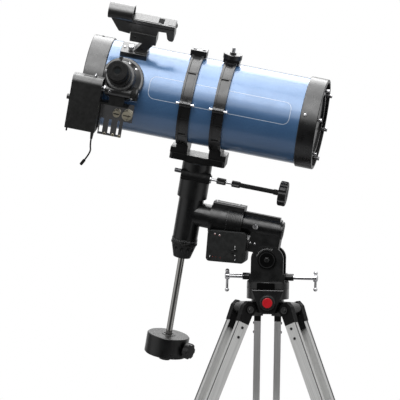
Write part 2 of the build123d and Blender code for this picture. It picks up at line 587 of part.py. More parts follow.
lower_rings = []
for x in ring_xs:
    out = math.copysign(1, x)
    with BuildPart() as lower:
        block(x - out * 11, x + out * 21, -21, 21, SADDLE_TOP - TUBE_UP, SADDLE_TOP - TUBE_UP + 10)
        block(x - 11, x + 11, -25, 25, SADDLE_TOP - TUBE_UP + 4, -TUBE_RADIUS + 8)
        ring_band(x, TUBE_RADIUS)
        split(bisect_by=Plane.XY.offset(RING_SPLIT), keep=Keep.BOTTOM)
        block(x - 8, x + 8, ring_out - 3, ear_y + 7, RING_SPLIT - 9, RING_SPLIT)
        rod_x(x - 4, x + 4, 5, y=hinge_y, z=RING_SPLIT)
        block(x - 4, x + 4, hinge_y, -ring_out + 4, RING_SPLIT - 5, RING_SPLIT)
        rod_x(x - 5, x + 5, 2, y=hinge_y, z=RING_SPLIT, mode=Mode.SUBTRACT)
        rod_z(RING_SPLIT - 20, RING_SPLIT + 1, 3.3, x=x, y=ear_y, mode=Mode.SUBTRACT)
    with BuildPart() as pin:
        rod_x(x - 15, x + 15, 2, y=hinge_y, z=RING_SPLIT)
    lower_rings += [lower.part, pin.part]
finish(lower_rings, OTA, "ring_lower_halves")

# Tube rings: upper halves and their clamp knobs
for name, x in zip(("front", "rear"), ring_xs):
    with BuildPart() as upper:
        ring_band(x, TUBE_RADIUS + GAP)
        split(bisect_by=Plane.XY.offset(RING_SPLIT + GAP), keep=Keep.TOP)
        block(x - 8, x + 8, ring_out - 3, ear_y + 7, RING_SPLIT + GAP, RING_SPLIT + 9)
        for shift in (-7.4, 7.4):
            rod_x(x + shift - 3, x + shift + 3, 5, y=hinge_y, z=RING_SPLIT)
            block(x + shift - 3, x + shift + 3, hinge_y, -ring_out + 4, RING_SPLIT + GAP, RING_SPLIT + 5)
        rod_x(x - 16, x + 16, 2 + RUN, y=hinge_y, z=RING_SPLIT, mode=Mode.SUBTRACT)
        rod_z(RING_SPLIT - 1, RING_SPLIT + 20, 2.5 + RUN, x=x, y=ear_y, mode=Mode.SUBTRACT)
        pad_top = TUBE_RADIUS + (15 if x < 0 else 10)
        block(x - 15, x + 15, -12, 12, TUBE_RADIUS + 3, pad_top)
        if x > 0:
            rod_z(pad_top - 4, pad_top + 1, 3.175, x=x, mode=Mode.SUBTRACT)
    pieces = [upper.part]
    if x > 0:
        with BuildPart() as piggyback:
            rod_z(pad_top - 4, pad_top + 21, 3.175, x=x)
            rod_z(pad_top, pad_top + 9, 17.5, x=x)
            chamfer(piggyback.edges().filter_by(GeomType.CIRCLE).group_by(Axis.Z)[2], 1)
            rod_z(pad_top + 9, pad_top + 12, 6, x=x)
        pieces.append(piggyback.part)
    finish(pieces, OTA, f"ring_upper_{name}")
    with BuildPart() as ring_knob:
        rod_z(RING_SPLIT - 8, RING_SPLIT + 12, 2.5, x=x, y=ear_y)
        rod_z(RING_SPLIT + 9 + GAP, RING_SPLIT + 23, 8, x=x, y=ear_y)
        fillet(ring_knob.edges().group_by(Axis.Z)[-1], 2)
    finish([ring_knob.part], OTA, f"ring_knob_{name}")

# Main tube with end ring, mirror cell and mirrors
tube_end = TUBE_REAR - 20
with BuildPart() as tube:
    rod_x(3 - TUBE_FRONT, tube_end, TUBE_RADIUS)
    rod_x(-TUBE_FRONT, TUBE_REAR, TUBE_RADIUS - TUBE_WALL, mode=Mode.SUBTRACT)
    with Locations(Location((-FOCUS_BACK, 0, 0), (FOCUS_TURN, 0, 0))):
        Cylinder(24, 100, align=(Align.CENTER, Align.CENTER, Align.MIN), mode=Mode.SUBTRACT)
finish([tube.part], OTA, "main_tube")

with BuildPart() as front_ring:
    rod_x(-TUBE_FRONT, FRONT_RING - TUBE_FRONT, TUBE_RADIUS + 3)
    fillet(front_ring.edges().filter_by(GeomType.CIRCLE), 1.5)
    rod_x(3 - TUBE_FRONT, 0, TUBE_RADIUS, mode=Mode.SUBTRACT)
    rod_x(-TUBE_FRONT - 1, 0, TUBE_RADIUS - 5, mode=Mode.SUBTRACT)
finish([front_ring.part], OTA, "front_ring")

with BuildPart() as cell:
    rod_x(TUBE_REAR - 33, TUBE_REAR, TUBE_RADIUS + 4)
    fillet(cell.edges().filter_by(GeomType.CIRCLE), 1.5)
    rod_x(TUBE_REAR - 34, tube_end, TUBE_RADIUS, mode=Mode.SUBTRACT)
    rod_x(tube_end - 1, tube_end + 6, TUBE_RADIUS - 5, mode=Mode.SUBTRACT)
    rod_x(tube_end + 12, TUBE_REAR + 1, TUBE_RADIUS - 2, mode=Mode.SUBTRACT)
    rod_x(tube_end + 11, tube_end + 16, TUBE_RADIUS - 20)
    rod_x(tube_end + 12, tube_end + 17, TUBE_RADIUS - 26, mode=Mode.SUBTRACT)
    with Locations(Location((tube_end - 4, 0, 0), (0, 90, 0))):
        with PolarLocations(MIRROR_DIAMETER / 2 - 19, 3):
            Cylinder(7, 22)
mirror_back = tube_end - 15
with BuildPart() as cell_screws:
    with Locations(Location((tube_end + 19, 0, 0), (0, 90, 0))):
        with PolarLocations(TUBE_RADIUS - 12, 6, start_angle=10):
            Cylinder(3.5, 14)
finish([cell.part, cell_screws.part], OTA, "mirror_cell")

with BuildPart() as mirror:
    rod_x(mirror_back - 18, mirror_back, MIRROR_DIAMETER / 2)
finish([mirror.part], OTA, "primary_mirror")

facing = (1, 0, 1)
vane_end = TUBE_RADIUS - TUBE_WALL - RUN
with BuildPart() as spider:
    rod_x(-24, 30, 16)
    split(bisect_by=Plane((-3.6, 0, -3.6), z_dir=facing), keep=Keep.BOTTOM)
    rod_x(-36, -24, 13)
    for turn in (60, 180, 300):
        with Locations(Location((-30, 0, 0), (turn, 0, 0))):
            with Locations((0, 0, (12 + vane_end) / 2)):
                Box(10, 1.2, vane_end - 12)
finish([spider.part], FOCUSER, "spider")
with BuildPart() as flat:
    rod_x(-40, 40, 17)
    split(bisect_by=Plane((0, 0, 0), z_dir=facing), keep=Keep.BOTTOM)
    split(bisect_by=Plane((-3.6, 0, -3.6), z_dir=facing), keep=Keep.TOP)
finish([flat.part], FOCUSER, "secondary_mirror")

# Focuser: saddle body, draw tube with rack, pinion and eyepiece
pinion_y = -DRAW_RADIUS - 6.8
pinion_z = TUBE_RADIUS + 28
with BuildPart() as focuser:
    rod_z(TUBE_RADIUS - 18, TUBE_RADIUS + 10, FOCUS_FLANGE / 2)
    fillet(focuser.edges().group_by(Axis.Z)[-1], 2)
    ring_end = FRONT_RING - TUBE_FRONT + FOCUS_BACK + 1
    block(-FOCUS_FLANGE, ring_end, -FOCUS_FLANGE, FOCUS_FLANGE, 0, TUBE_RADIUS + 11, mode=Mode.SUBTRACT)
    with Locations((0, 0, TUBE_RADIUS + 15)):
        Cone(FOCUS_FLANGE / 2 - 5, 27, 10)
    rod_z(TUBE_RADIUS + 20, TUBE_RADIUS + 48, 27)
    fillet(focuser.edges().filter_by(GeomType.CIRCLE).group_by(Axis.Z)[-1], 2)
    rod_x(-24, 24, 10, y=pinion_y, z=pinion_z)
    rod_x(-60, 60, TUBE_RADIUS, mode=Mode.SUBTRACT)
    rod_z(0, 200, DRAW_RADIUS + RUN, mode=Mode.SUBTRACT)
    block(-3.5, 3.5, -DRAW_RADIUS - 2, 0, 0, 200, mode=Mode.SUBTRACT)
    rod_x(-40, 40, 3 + RUN, y=pinion_y, z=pinion_z, mode=Mode.SUBTRACT)
    rod_x(-4.5, 4.5, 5.6, y=pinion_y, z=pinion_z, mode=Mode.SUBTRACT)
finish([focuser.part], FOCUSER, "focuser_body")

draw_end = TUBE_RADIUS + 70
with BuildPart() as draw:
    rod_z(TUBE_RADIUS - 8, draw_end, DRAW_RADIUS)
    rod_z(draw_end - 12, draw_end, DRAW_RADIUS + 3)
    block(-3, 3, -DRAW_RADIUS - 1.5, -DRAW_RADIUS + 2, TUBE_RADIUS - 6, draw_end - 12)
    rod_z(0, draw_end + 1, DRAW_RADIUS - 2.8, mode=Mode.SUBTRACT)
finish([draw.part], FOCUSER, "draw_tube")

with BuildPart() as pinion:
    rod_x(-40, 38, 3, y=pinion_y, z=pinion_z)
    rod_x(-4, 4, 5, y=pinion_y, z=pinion_z)
    rod_x(24.4, 38, 12, y=pinion_y, z=pinion_z)
    fillet(pinion.edges().filter_by(GeomType.CIRCLE).group_by(Axis.X)[-1], 2)
finish([pinion.part], FOCUSER, "focus_pinion")

eye_end = TUBE_RADIUS + FOCUS_OUT
with BuildPart() as eyepiece:
    rod_z(draw_end - 26, draw_end + 2, 15.875)
    rod_z(draw_end + GAP, draw_end + 12, 18)
    with Locations((0, 0, draw_end + 17)):
        Cone(18, EYE_DIAMETER / 2, 10)
    rod_z(draw_end + 22, eye_end, EYE_DIAMETER / 2)
    fillet(eyepiece.edges().filter_by(GeomType.CIRCLE).group_by(Axis.Z)[-1], 2)
    rod_z(eye_end - 4, eye_end + 1, 9, mode=Mode.SUBTRACT)
    rod_z(draw_end - 27, eye_end, 7, mode=Mode.SUBTRACT)
    rod_z(draw_end - 27, draw_end - 6, 13, mode=Mode.SUBTRACT)
with BuildPart() as eye_lens:
    rod_z(eye_end - 4, eye_end - 2.5, 9 - RUN)
finish([eyepiece.part, eye_lens.part], FOCUSER, "eyepiece")

# Focus motor on a slotted bracket, with its short lead
motor_x0 = -FOCUS_BACK - 84
motor_x1 = motor_x0 + 56
motor_low = -66
motor_top = 34
plate_y = -TUBE_RADIUS - 8
with BuildPart() as motor:
    block(motor_x0, motor_x1, plate_y - 48, plate_y - 8, motor_low, motor_top)
    fillet(motor.edges().filter_by(Axis.X).group_by(Axis.Z)[-1], 12)
    fillet(motor.edges().filter_by(Axis.X).group_by(Axis.Z)[0], 3)
    turn = math.radians(FOCUS_TURN)
    shaft_y = pinion_y * math.cos(turn) - pinion_z * math.sin(turn)
    shaft_z = pinion_y * math.sin(turn) + pinion_z * math.cos(turn)
    rod_x(motor_x1 - 16, motor_x1 + 1, 3 + RUN, y=shaft_y, z=shaft_z, mode=Mode.SUBTRACT)
    rod_x(motor_x0 - 6, motor_x0, 5, y=plate_y - 34, z=-10)
bracket_top = -11
with BuildPart() as bracket:
    block(motor_x1, motor_x1 + 60, plate_y - 2.5, plate_y, -45, bracket_top)
    block(motor_x1, motor_x1 + 44, plate_y - 2.5, plate_y, -76, -44)
    for start, end in ((2, 8), (18, 23), (34, 38)):
        block(motor_x1 + start, motor_x1 + end, plate_y - 7, plate_y + 8, -72, -45, mode=Mode.SUBTRACT)
    block(motor_x1, motor_x1 + 51, shaft_y - 3, plate_y, bracket_top - 3, bracket_top)
    block(motor_x1 + 14, motor_x1 + 42, shaft_y - 3, shaft_y + 3, bracket_top - 2, shaft_z - 10)
    block(motor_x1, motor_x1 + 2, plate_y - 25, plate_y, -60, bracket_top)
with BuildPart() as thumb_nuts:
    for shift, radius in ((30, 6.5), (50, 9)):
        rod_y(plate_y - 12, plate_y - 2.5, radius, x=motor_x1 + shift, z=-31)
exit_x = motor_x1 - 6
exit_y = plate_y - 28
with BuildPart() as relief:
    with Locations((exit_x, exit_y, motor_low - 8)):
        Cone(2.2, 3.6, 16)
finish([motor.part, bracket.part, thumb_nuts.part, relief.part], OTA, "focus_motor")

CORD_RADIUS = 1.5
cord_start = (exit_x, exit_y, motor_low - 16)
cord_path = [
    cord_start,
    (exit_x, exit_y, motor_low - 28),
    (exit_x + 4, exit_y - 3, motor_low - 40),
    (exit_x - 6, exit_y + 2, motor_low - 58),
]
with BuildPart() as cord:
    with BuildLine() as route:
        FilletPolyline(*cord_path, radius=12)
    with BuildSketch(Plane(cord_start, z_dir=(0, 0, -1))):
        Circle(CORD_RADIUS)
    sweep()
finish([cord.part], OTA, "motor_cord")
cord_end = Vector(*cord_path[-1])
cord_way = (cord_end - Vector(*cord_path[-2])).normalized()
with BuildPart() as plug:
    with BuildSketch(Plane(cord_end, z_dir=cord_way)):
        Circle(2.8)
    extrude(amount=12)
    fillet(plug.edges(), 0.6)
finish([plug.part], OTA, "cord_plug")

# Red-dot finder on its slanted bracket
finder_low = TUBE_RADIUS + 57
with BuildPart() as finder_bracket:
    block(-23, 27, -15, 15, TUBE_RADIUS - 6, TUBE_RADIUS + 10)
    with BuildSketch(Plane.XZ.offset(9)):
        with BuildLine():
            Polyline(
                (0, TUBE_RADIUS + 8), (20, TUBE_RADIUS + 8), (38, TUBE_RADIUS + 36), (17, TUBE_RADIUS + 36),
                close=True,
            )
        make_face()
    extrude(amount=-18)
    block(-8, 41, -12, 12, TUBE_RADIUS + 35, finder_low)
    rod_x(-60, 60, TUBE_RADIUS, mode=Mode.SUBTRACT)
finish([finder_bracket.part], FINDER, "finder_bracket")
with BuildPart() as finder:
    with BuildSketch(Plane.XZ.offset(11)):
        with BuildLine():
            outline = (
                (-47, 24), (-30, -4), (-9, -6), (-8, 0), (41, 0), (43, 11), (58, 12),
                (61, -2), (65, -6), (71, -6), (73, -2), (73, 28), (-8, 28),
            )
            Polyline([(x, finder_low + z) for x, z in outline], close=True)
        make_face()
    extrude(amount=-22)
    rod_x(-52, -6, 15.5, z=finder_low + 33)
    rod_x(-53, -5, 13, z=finder_low + 33, mode=Mode.SUBTRACT)
    rod_y(4, 12, 2.5 + RUN, x=66, z=finder_low + 14, mode=Mode.SUBTRACT)
with BuildPart() as finder_glass:
    rod_x(-32, -30, 13, z=finder_low + 33)
finish([finder.part, finder_glass.part], FINDER, "finder_body")
with BuildPart() as finder_dial:
    rod_y(5, 12, 2.5, x=66, z=finder_low + 14)
    rod_y(11 + GAP, 15.5, 8, x=66, z=finder_low + 14)
finish([finder_dial.part], FINDER, "finder_dial")
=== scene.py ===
"""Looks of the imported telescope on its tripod: camera, light, materials and small details."""

import json
import math

import bmesh
import bpy
from mathutils import Matrix, Vector


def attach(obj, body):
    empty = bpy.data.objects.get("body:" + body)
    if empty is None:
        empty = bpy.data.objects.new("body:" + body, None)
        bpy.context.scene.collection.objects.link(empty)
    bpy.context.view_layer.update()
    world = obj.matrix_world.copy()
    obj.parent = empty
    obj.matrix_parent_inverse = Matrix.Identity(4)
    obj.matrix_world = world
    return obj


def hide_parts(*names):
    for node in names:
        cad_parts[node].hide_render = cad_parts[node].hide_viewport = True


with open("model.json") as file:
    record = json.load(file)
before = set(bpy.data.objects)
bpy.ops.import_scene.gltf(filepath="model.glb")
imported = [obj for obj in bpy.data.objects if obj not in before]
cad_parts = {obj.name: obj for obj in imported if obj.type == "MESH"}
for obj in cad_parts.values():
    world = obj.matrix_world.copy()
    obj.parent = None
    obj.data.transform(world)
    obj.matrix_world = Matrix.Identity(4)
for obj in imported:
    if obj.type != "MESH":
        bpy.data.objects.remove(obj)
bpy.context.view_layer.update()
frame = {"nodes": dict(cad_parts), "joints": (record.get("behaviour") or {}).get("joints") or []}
NODES = frame["nodes"]
JOINTS = {joint["name"]: joint for joint in frame["joints"]}
MM = 0.001
UP = Vector((0, 0, 1))
DOWN = (0, 0, -1)
ALONG = (1, 0, 0)
FORWARD = (0, -1, 0)
BACKWARD = (0, 1, 0)

# Sizes of the solids, in millimetres; camera, light, looks and floor keep to metres
TUBE_UP = 212
TUBE_RADIUS = 80
TUBE_FRONT = 228
TUBE_REAR = 213
RING_APART = 62
RING_OUT = 86
RING_WIDE = 22
RING_HINGE = (-91, 10)
RING_KNOB = (93, 19.3)
FOCUS_BACK = 154
PINION = (-25.8, 108)
EYE_LENS_UP = 183.5
EYE_TOP = 186
FINDER_BACK = 147
FINDER_BASE = 90
FINDER_TOP = 165
FINDER_HALF = 11
HOOD_UP = 170
WINDOW_X = -31
POLAR_UP = 55.7
POLAR_END = 177
DRUM_RADIUS = 28
DRUM_COVER = 32
DEC_BACK = 160.4
DEC_CIRCLE = -59.3
DEC_WORM = -20.6
WORM_UP = 75
WORM_SHADE_REACH = 10.2
WEIGHT_TOP = -235
BAR_STOP = -275.5
CASE_FRONT = -38
CASE_BACK = 20
CASE_CENTRE = (-77.9, 10.4)
CASE_LEAN = -6
FORK_FACE = 24
FORK_COVER = 5
PIVOT_UP = 90.6
LATITUDE_BOLT_UP = 58
LEG_LENGTH = 680
BAR_TOP = 27
BAR_END = 585
BAR_MIDDLE = 18.75
BAR_OUTSIDE = 25
BAR_DEEP = 21
COLLAR_TOP = 27
SLIDER_HALF = (8.5, 12.7)
FOOT_LONG = 46
FOOT_CORE = 15.5
HINGE_RADIUS = 52
HINGE_TURNS = (90, 210, 330)
KNOB_UP = 14
KNOB_FACE = -50
SHAFT_Y = -110.1
SHAFT_Z = 14.6
PLATE_Y = -88
MOTOR_X0 = -238
MOTOR_X1 = -182
MOTOR_LOW = -66
MOTOR_TOP = 34
MOTOR_MIDDLE = -116.1


# Frames of the sub-assemblies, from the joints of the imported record
def mm(*values):
    """A point given in millimetres."""
    return Vector(values) * MM


def frame_of(origin, x_axis, z_axis):
    """A right-handed frame at origin with the given X and Z directions."""
    x_axis = Vector(x_axis).normalized()
    z_axis = Vector(z_axis).normalized()
    turned = Matrix((x_axis, z_axis.cross(x_axis), z_axis)).transposed().to_4x4()
    turned.translation = Vector(origin)
    return turned


def axis_of(joint):
    """The direction of a joint's axis."""
    return Vector(JOINTS[joint]["axis"])


def place_of(joint):
    """The point that a hinge turns about, in metres."""
    return Vector(JOINTS[joint]["pos_m"])


def leg_frame(side):
    """A leg's frame: origin at its hinge, Z up along the leg, Y along the hinge."""
    upward = -axis_of(f"leg_{side}_extend")
    return frame_of(place_of(f"leg_{side}_fold"), axis_of(f"leg_{side}_fold").cross(upward), upward)


POLAR_AXIS = axis_of("right_ascension_turn")
POLE = frame_of(place_of("latitude_tilt"), POLAR_AXIS, POLAR_AXIS.cross(axis_of("latitude_tilt")))
RA = frame_of(place_of("right_ascension_turn"), POLAR_AXIS, axis_of("declination_turn"))
OTA = RA @ Matrix.Translation(mm(0, 0, TUBE_UP))
FOCUSER = frame_of(OTA @ mm(-FOCUS_BACK, 0, 0), POLAR_AXIS, axis_of("focus_travel"))
FINDER_AXIS = POLAR_AXIS.cross(axis_of("finder_dial_turn"))
FINDER = frame_of(OTA @ mm(-FINDER_BACK, 0, 0), POLAR_AXIS, FINDER_AXIS)
HUB_UP = place_of("leg_back_fold").z
TRIPOD = frame_of((0, 0, HUB_UP), axis_of("azimuth_knob_turn").cross(UP), UP)
AZIMUTH = Matrix.Translation((0, 0, HUB_UP))
LEGS = {side: leg_frame(side) for side in ("back", "left", "right")}


def at(place, point, direction=UP):
    """A frame at a point of place in millimetres, with its Z along a direction of place."""
    turn = UP.rotation_difference(Vector(direction).normalized()).to_matrix().to_4x4()
    return place @ Matrix.Translation(Vector(point) * MM) @ turn


def turned_z(place, degrees):
    """A frame turned about its own Z."""
    return place @ Matrix.Rotation(math.radians(degrees), 4, "Z")


# Camera: the photograph looks along +Y from a little to the right and above, rolled slightly
PHOTO_PIXELS = 400
PIXELS_PER_METRE = 542.5
VIEW_AZIMUTH = math.radians(7)
VIEW_ELEVATION = math.radians(4)
VIEW_ROLL = math.radians(1.2)
HUB_PIXEL = (267.5, 308.0)
VIEW_DISTANCE = 18.0
VIEW_END = 200
SENSOR = 36.0


def make_camera():
    """The camera that frames the photograph, placed by the pixel of the tripod's hinge centre."""
    back = Vector((
        math.sin(VIEW_AZIMUTH) * math.cos(VIEW_ELEVATION),
        -math.cos(VIEW_AZIMUTH) * math.cos(VIEW_ELEVATION),
        math.sin(VIEW_ELEVATION),
    ))
    level = Vector((math.cos(VIEW_AZIMUTH), math.sin(VIEW_AZIMUTH), 0))
    above = back.cross(level)
    right = level * math.cos(VIEW_ROLL) + above * math.sin(VIEW_ROLL)
    upward = above * math.cos(VIEW_ROLL) - level * math.sin(VIEW_ROLL)
    centre = PHOTO_PIXELS / 2
    target = Vector((0, 0, HUB_UP))
    target += right * (centre - HUB_PIXEL[0]) / PIXELS_PER_METRE
    target += upward * (HUB_PIXEL[1] - centre) / PIXELS_PER_METRE
    data = bpy.data.cameras.new("photo_camera")
    data.sensor_width = SENSOR
    data.lens = SENSOR * VIEW_DISTANCE * PIXELS_PER_METRE / PHOTO_PIXELS
    data.clip_end = VIEW_END
    camera = bpy.data.objects.new("photo_camera", data)
    turned = Matrix((right, upward, back)).transposed().to_4x4()
    turned.translation = target + back * VIEW_DISTANCE
    camera.matrix_world = turned
    bpy.context.scene.collection.objects.link(camera)
    bpy.context.scene.camera = camera


make_camera()
bpy.context.scene.view_settings.view_transform = "Standard"

# Light: a white studio, bright above, at the sides and behind, with soft boxes over the object.
# Its walls are ramps over a direction's height, depth or width: start, end, first and last level
CEILING = (0.10, 0.55, 0.05, 1.0)
BACK_WALL = (0.30, 0.90, 0.0, 1.0)
BACK_CENTRE = (0.94, 0.995, 1.0, 0.25)
BACK_FOOT = (-0.6, -0.1, 0.15, 1.0)
SIDE_WALLS = (0.35, 0.8, 0.0, 0.6)
SIDE_DEPTH = (-0.1, 0.3, 1.0, 0.0)
SOFT_FILL = (-0.3, 0.4, 0.06, 0.40)
AIM = Vector((-0.20, 0, 1.0))
BOX_DISTANCE = 2.0
BOX_SIZE = (0.95, 1.5)
LOW_SIZE = (0.95, 0.65)


def make_world():
    """White for camera and clear rays, a soft fill for diffuse and walls for glossy rays."""
    world = bpy.data.worlds.new("studio")
    bpy.context.scene.world = world
    world.use_nodes = True
    tree = world.node_tree
    tree.nodes.clear()

    def ramp(value, levels):
        node = tree.nodes.new("ShaderNodeMapRange")
        for socket, level in zip(("From Min", "From Max", "To Min", "To Max"), levels):
            node.inputs[socket].default_value = level
        tree.links.new(value, node.inputs["Value"])
        return node.outputs["Result"]

    def combine(operation, *values):
        node = tree.nodes.new("ShaderNodeMath")
        node.operation = operation
        for socket, value in zip(node.inputs, values):
            tree.links.new(value, socket)
        return node.outputs[0]

    paths = tree.nodes.new("ShaderNodeLightPath")
    where = tree.nodes.new("ShaderNodeTexCoord")
    split = tree.nodes.new("ShaderNodeSeparateXYZ")
    tree.links.new(where.outputs["Generated"], split.inputs[0])
    across, away, height = split.outputs
    back = combine("MULTIPLY", ramp(away, BACK_WALL), ramp(away, BACK_CENTRE))
    back = combine("MULTIPLY", back, ramp(height, BACK_FOOT))
    sides = ramp(combine("ABSOLUTE", across), SIDE_WALLS)
    sides = combine("MULTIPLY", sides, ramp(away, SIDE_DEPTH))
    walls = combine("MAXIMUM", combine("MAXIMUM", ramp(height, CEILING), back), sides)
    fill = tree.nodes.new("ShaderNodeMix")
    tree.links.new(ramp(height, SOFT_FILL), fill.inputs["A"])
    tree.links.new(paths.outputs["Is Glossy Ray"], fill.inputs["Factor"])
    tree.links.new(walls, fill.inputs["B"])
    level = tree.nodes.new("ShaderNodeMix")
    level.inputs["B"].default_value = 1.0
    seen = combine("MAXIMUM", paths.outputs["Is Camera Ray"], paths.outputs["Is Transmission Ray"])
    tree.links.new(seen, level.inputs["Factor"])
    tree.links.new(fill.outputs["Result"], level.inputs["A"])
    sky = tree.nodes.new("ShaderNodeBackground")
    sky.inputs["Color"].default_value = (1, 1, 1, 1)
    tree.links.new(level.outputs["Result"], sky.inputs["Strength"])
    out = tree.nodes.new("ShaderNodeOutputWorld")
    tree.links.new(sky.outputs[0], out.inputs["Surface"])


def soft_box(name, turn, power, size=BOX_SIZE):
    """A soft box on an arc over the object, from the front over the top to the back."""
    data = bpy.data.lights.new(name, "AREA")
    data.shape = "RECTANGLE"
    data.size, data.size_y = size
    data.energy = power
    lamp = bpy.data.objects.new(name, data)
    angle = math.radians(turn)
    way = Vector((0, -math.cos(angle), math.sin(angle)))
    lamp.location = AIM + way * BOX_DISTANCE
    lamp.rotation_euler = (-way).to_track_quat("-Z", "Y").to_euler()
    lamp.visible_camera = False
    bpy.context.scene.collection.objects.link(lamp)


make_world()
soft_box("low_box", 17, 3.5, LOW_SIZE)
soft_box("front_box", 47, 21)
soft_box("top_box", 90, 19)
soft_box("back_box", 134, 19)


# Materials: a noise pattern mostly keeps between these two values
NOISE_LOW = 0.35
NOISE_HIGH = 0.65


class Shader:
    """A node material being built around one surface shader."""

    def __init__(self, name, colour, roughness, metallic=0.0, **sockets):
        self.material = bpy.data.materials.new(name)
        self.material.use_nodes = True
        self.tree = self.material.node_tree
        self.surface = self.tree.nodes["Principled BSDF"]
        self.surface.inputs["Base Color"].default_value = (*colour, 1)
        self.surface.inputs["Roughness"].default_value = roughness
        self.surface.inputs["Metallic"].default_value = metallic
        for socket, value in sockets.items():
            self.surface.inputs[socket.replace("_", " ")].default_value = value
        self.colour = colour
        coordinates = self.tree.nodes.new("ShaderNodeTexCoord")
        self.mapping = self.tree.nodes.new("ShaderNodeMapping")
        self.tree.links.new(coordinates.outputs["Object"], self.mapping.inputs["Vector"])
        self.normal = None

    def lay(self, place, stretch):
        """Turn the pattern to a frame and stretch it along that frame's Z."""
        self.mapping.vector_type = "TEXTURE"
        self.mapping.inputs["Rotation"].default_value = place.to_3x3().to_euler()
        self.mapping.inputs["Scale"].default_value = (1, 1, 1 / stretch)
        return self

    def noise(self, scale, detail=3.0):
        """A noise pattern in the material's own coordinates."""
        node = self.tree.nodes.new("ShaderNodeTexNoise")
        node.inputs["Scale"].default_value = scale
        node.inputs["Detail"].default_value = detail
        self.tree.links.new(self.mapping.outputs["Vector"], node.inputs["Vector"])
        return node.outputs["Fac"]

    def spread(self, value, low, high, start, end):
        """A pattern's values from start to end, spread from low to high."""
        node = self.tree.nodes.new("ShaderNodeMapRange")
        node.inputs["From Min"].default_value = start
        node.inputs["From Max"].default_value = end
        node.inputs["To Min"].default_value = low
        node.inputs["To Max"].default_value = high
        self.tree.links.new(value, node.inputs["Value"])
        return node.outputs["Result"]

    def tint(self, value, other, start=NOISE_LOW, end=NOISE_HIGH):
        """Mix another colour into the base colour where the pattern is high."""
        node = self.tree.nodes.new("ShaderNodeMix")
        node.data_type = "RGBA"
        socket = self.surface.inputs["Base Color"]
        if socket.is_linked:
            self.tree.links.new(socket.links[0].from_socket, node.inputs["A"])
        else:
            node.inputs["A"].default_value = (*self.colour, 1)
        node.inputs["B"].default_value = (*other, 1)
        self.tree.links.new(self.spread(value, 0, 1, start, end), node.inputs["Factor"])
        self.tree.links.new(node.outputs["Result"], socket)

    def shade(self, value, share, start, end, added=0.0):
        """Mix in the base colour times a share, plus a little white, where the pattern is high."""
        self.tint(value, tuple(c * share + added for c in self.colour), start, end)

    def wear(self, value, low, high):
        """Let the roughness follow the pattern."""
        level = self.spread(value, low, high, NOISE_LOW, NOISE_HIGH)
        self.tree.links.new(level, self.surface.inputs["Roughness"])

    def bump(self, value, strength, distance):
        """Raise the surface by the pattern, on top of what is there."""
        node = self.tree.nodes.new("ShaderNodeBump")
        node.inputs["Strength"].default_value = strength
        node.inputs["Distance"].default_value = distance
        self.tree.links.new(value, node.inputs["Height"])
        if self.normal:
            self.tree.links.new(self.normal, node.inputs["Normal"])
        self.normal = node.outputs["Normal"]
        self.tree.links.new(self.normal, self.surface.inputs["Normal"])


def flake_paint(name, colour, flake):
    """Gloss metallic paint: fine flakes, slow change of tone, faint orange peel, clear coat."""
    shader = Shader(
        name, colour, 0.34, 0.25, Coat_Weight=1.0, Coat_Roughness=0.19, Specular_IOR_Level=0.7,
    )
    shader.tint(shader.noise(1600, 2), flake, 0.5, 0.72)
    shader.shade(shader.noise(7, 2), 0.88, 0.45, 0.8)
    shader.wear(shader.noise(35), 0.30, 0.38)
    shader.bump(shader.noise(420, 1), 0.05, 0.0002)
    return shader.material


def enamel(name, colour, roughness, grain, depth, shine=0.5, coat=0.0):
    """Sprayed enamel on a casting: fine grain, rubbed patches and a little dust."""
    shader = Shader(
        name, colour, roughness, Specular_IOR_Level=shine, Coat_Weight=coat, Coat_Roughness=0.3,
    )
    shader.shade(shader.noise(22, 4), 1.6, 0.5, 0.75, 0.0004)
    shader.shade(shader.noise(900, 2), 2.0, 0.68, 0.8, 0.001)
    shader.wear(shader.noise(60, 4), roughness * 0.85, roughness * 1.2)
    shader.bump(shader.noise(grain, 3), depth, 0.0003)
    return shader.material


def moulded(name, colour, roughness, shine=0.5, coat=0.0):
    """Moulded plastic with a fine spark-eroded texture."""
    shader = Shader(
        name, colour, roughness, Specular_IOR_Level=shine, Coat_Weight=coat, Coat_Roughness=0.26,
    )
    shader.shade(shader.noise(18, 3), 1.5, 0.45, 0.75, 0.0005)
    shader.wear(shader.noise(140, 3), roughness * 0.88, roughness * 1.15)
    shader.bump(shader.noise(2600, 2), 0.18, 0.00012)
    return shader.material


def rubber(name, colour):
    """Matt rubber with dust in its grain."""
    shader = Shader(name, colour, 0.78, Specular_IOR_Level=0.3)
    shader.shade(shader.noise(260, 4), 1.8, 0.55, 0.8, 0.003)
    shader.bump(shader.noise(1500, 3), 0.3, 0.0003)
    return shader.material


def drawn_metal(name, colour, roughness, place, stretch, grain, depth, metallic=1.0):
    """Bare metal with lines along the Z of a frame."""
    shader = Shader(name, colour, roughness, metallic).lay(place, stretch)
    lines = shader.noise(grain, 2)
    shader.shade(lines, 0.8, 0.4, 0.75)
    shader.wear(lines, roughness * 0.75, roughness * 1.3)
    shader.bump(lines, depth, 0.00008)
    return shader.material


def plated(name, colour, roughness, metallic=1.0):
    """Bright plating with faint smears and fine scratches."""
    shader = Shader(name, colour, roughness, metallic)
    shader.shade(shader.noise(40, 4), 0.86, 0.5, 0.8)
    shader.wear(shader.noise(120, 5), roughness * 0.7, roughness * 1.8)
    shader.bump(shader.noise(800, 2), 0.03, 0.0001)
    return shader.material


def gloss_plastic(name, colour):
    """Bright gloss plastic with slight flow marks."""
    shader = Shader(name, colour, 0.24, Coat_Weight=0.3, Coat_Roughness=0.1)
    shader.shade(shader.noise(90, 3), 0.8, 0.5, 0.8)
    shader.bump(shader.noise(700, 2), 0.05, 0.0002)
    return shader.material


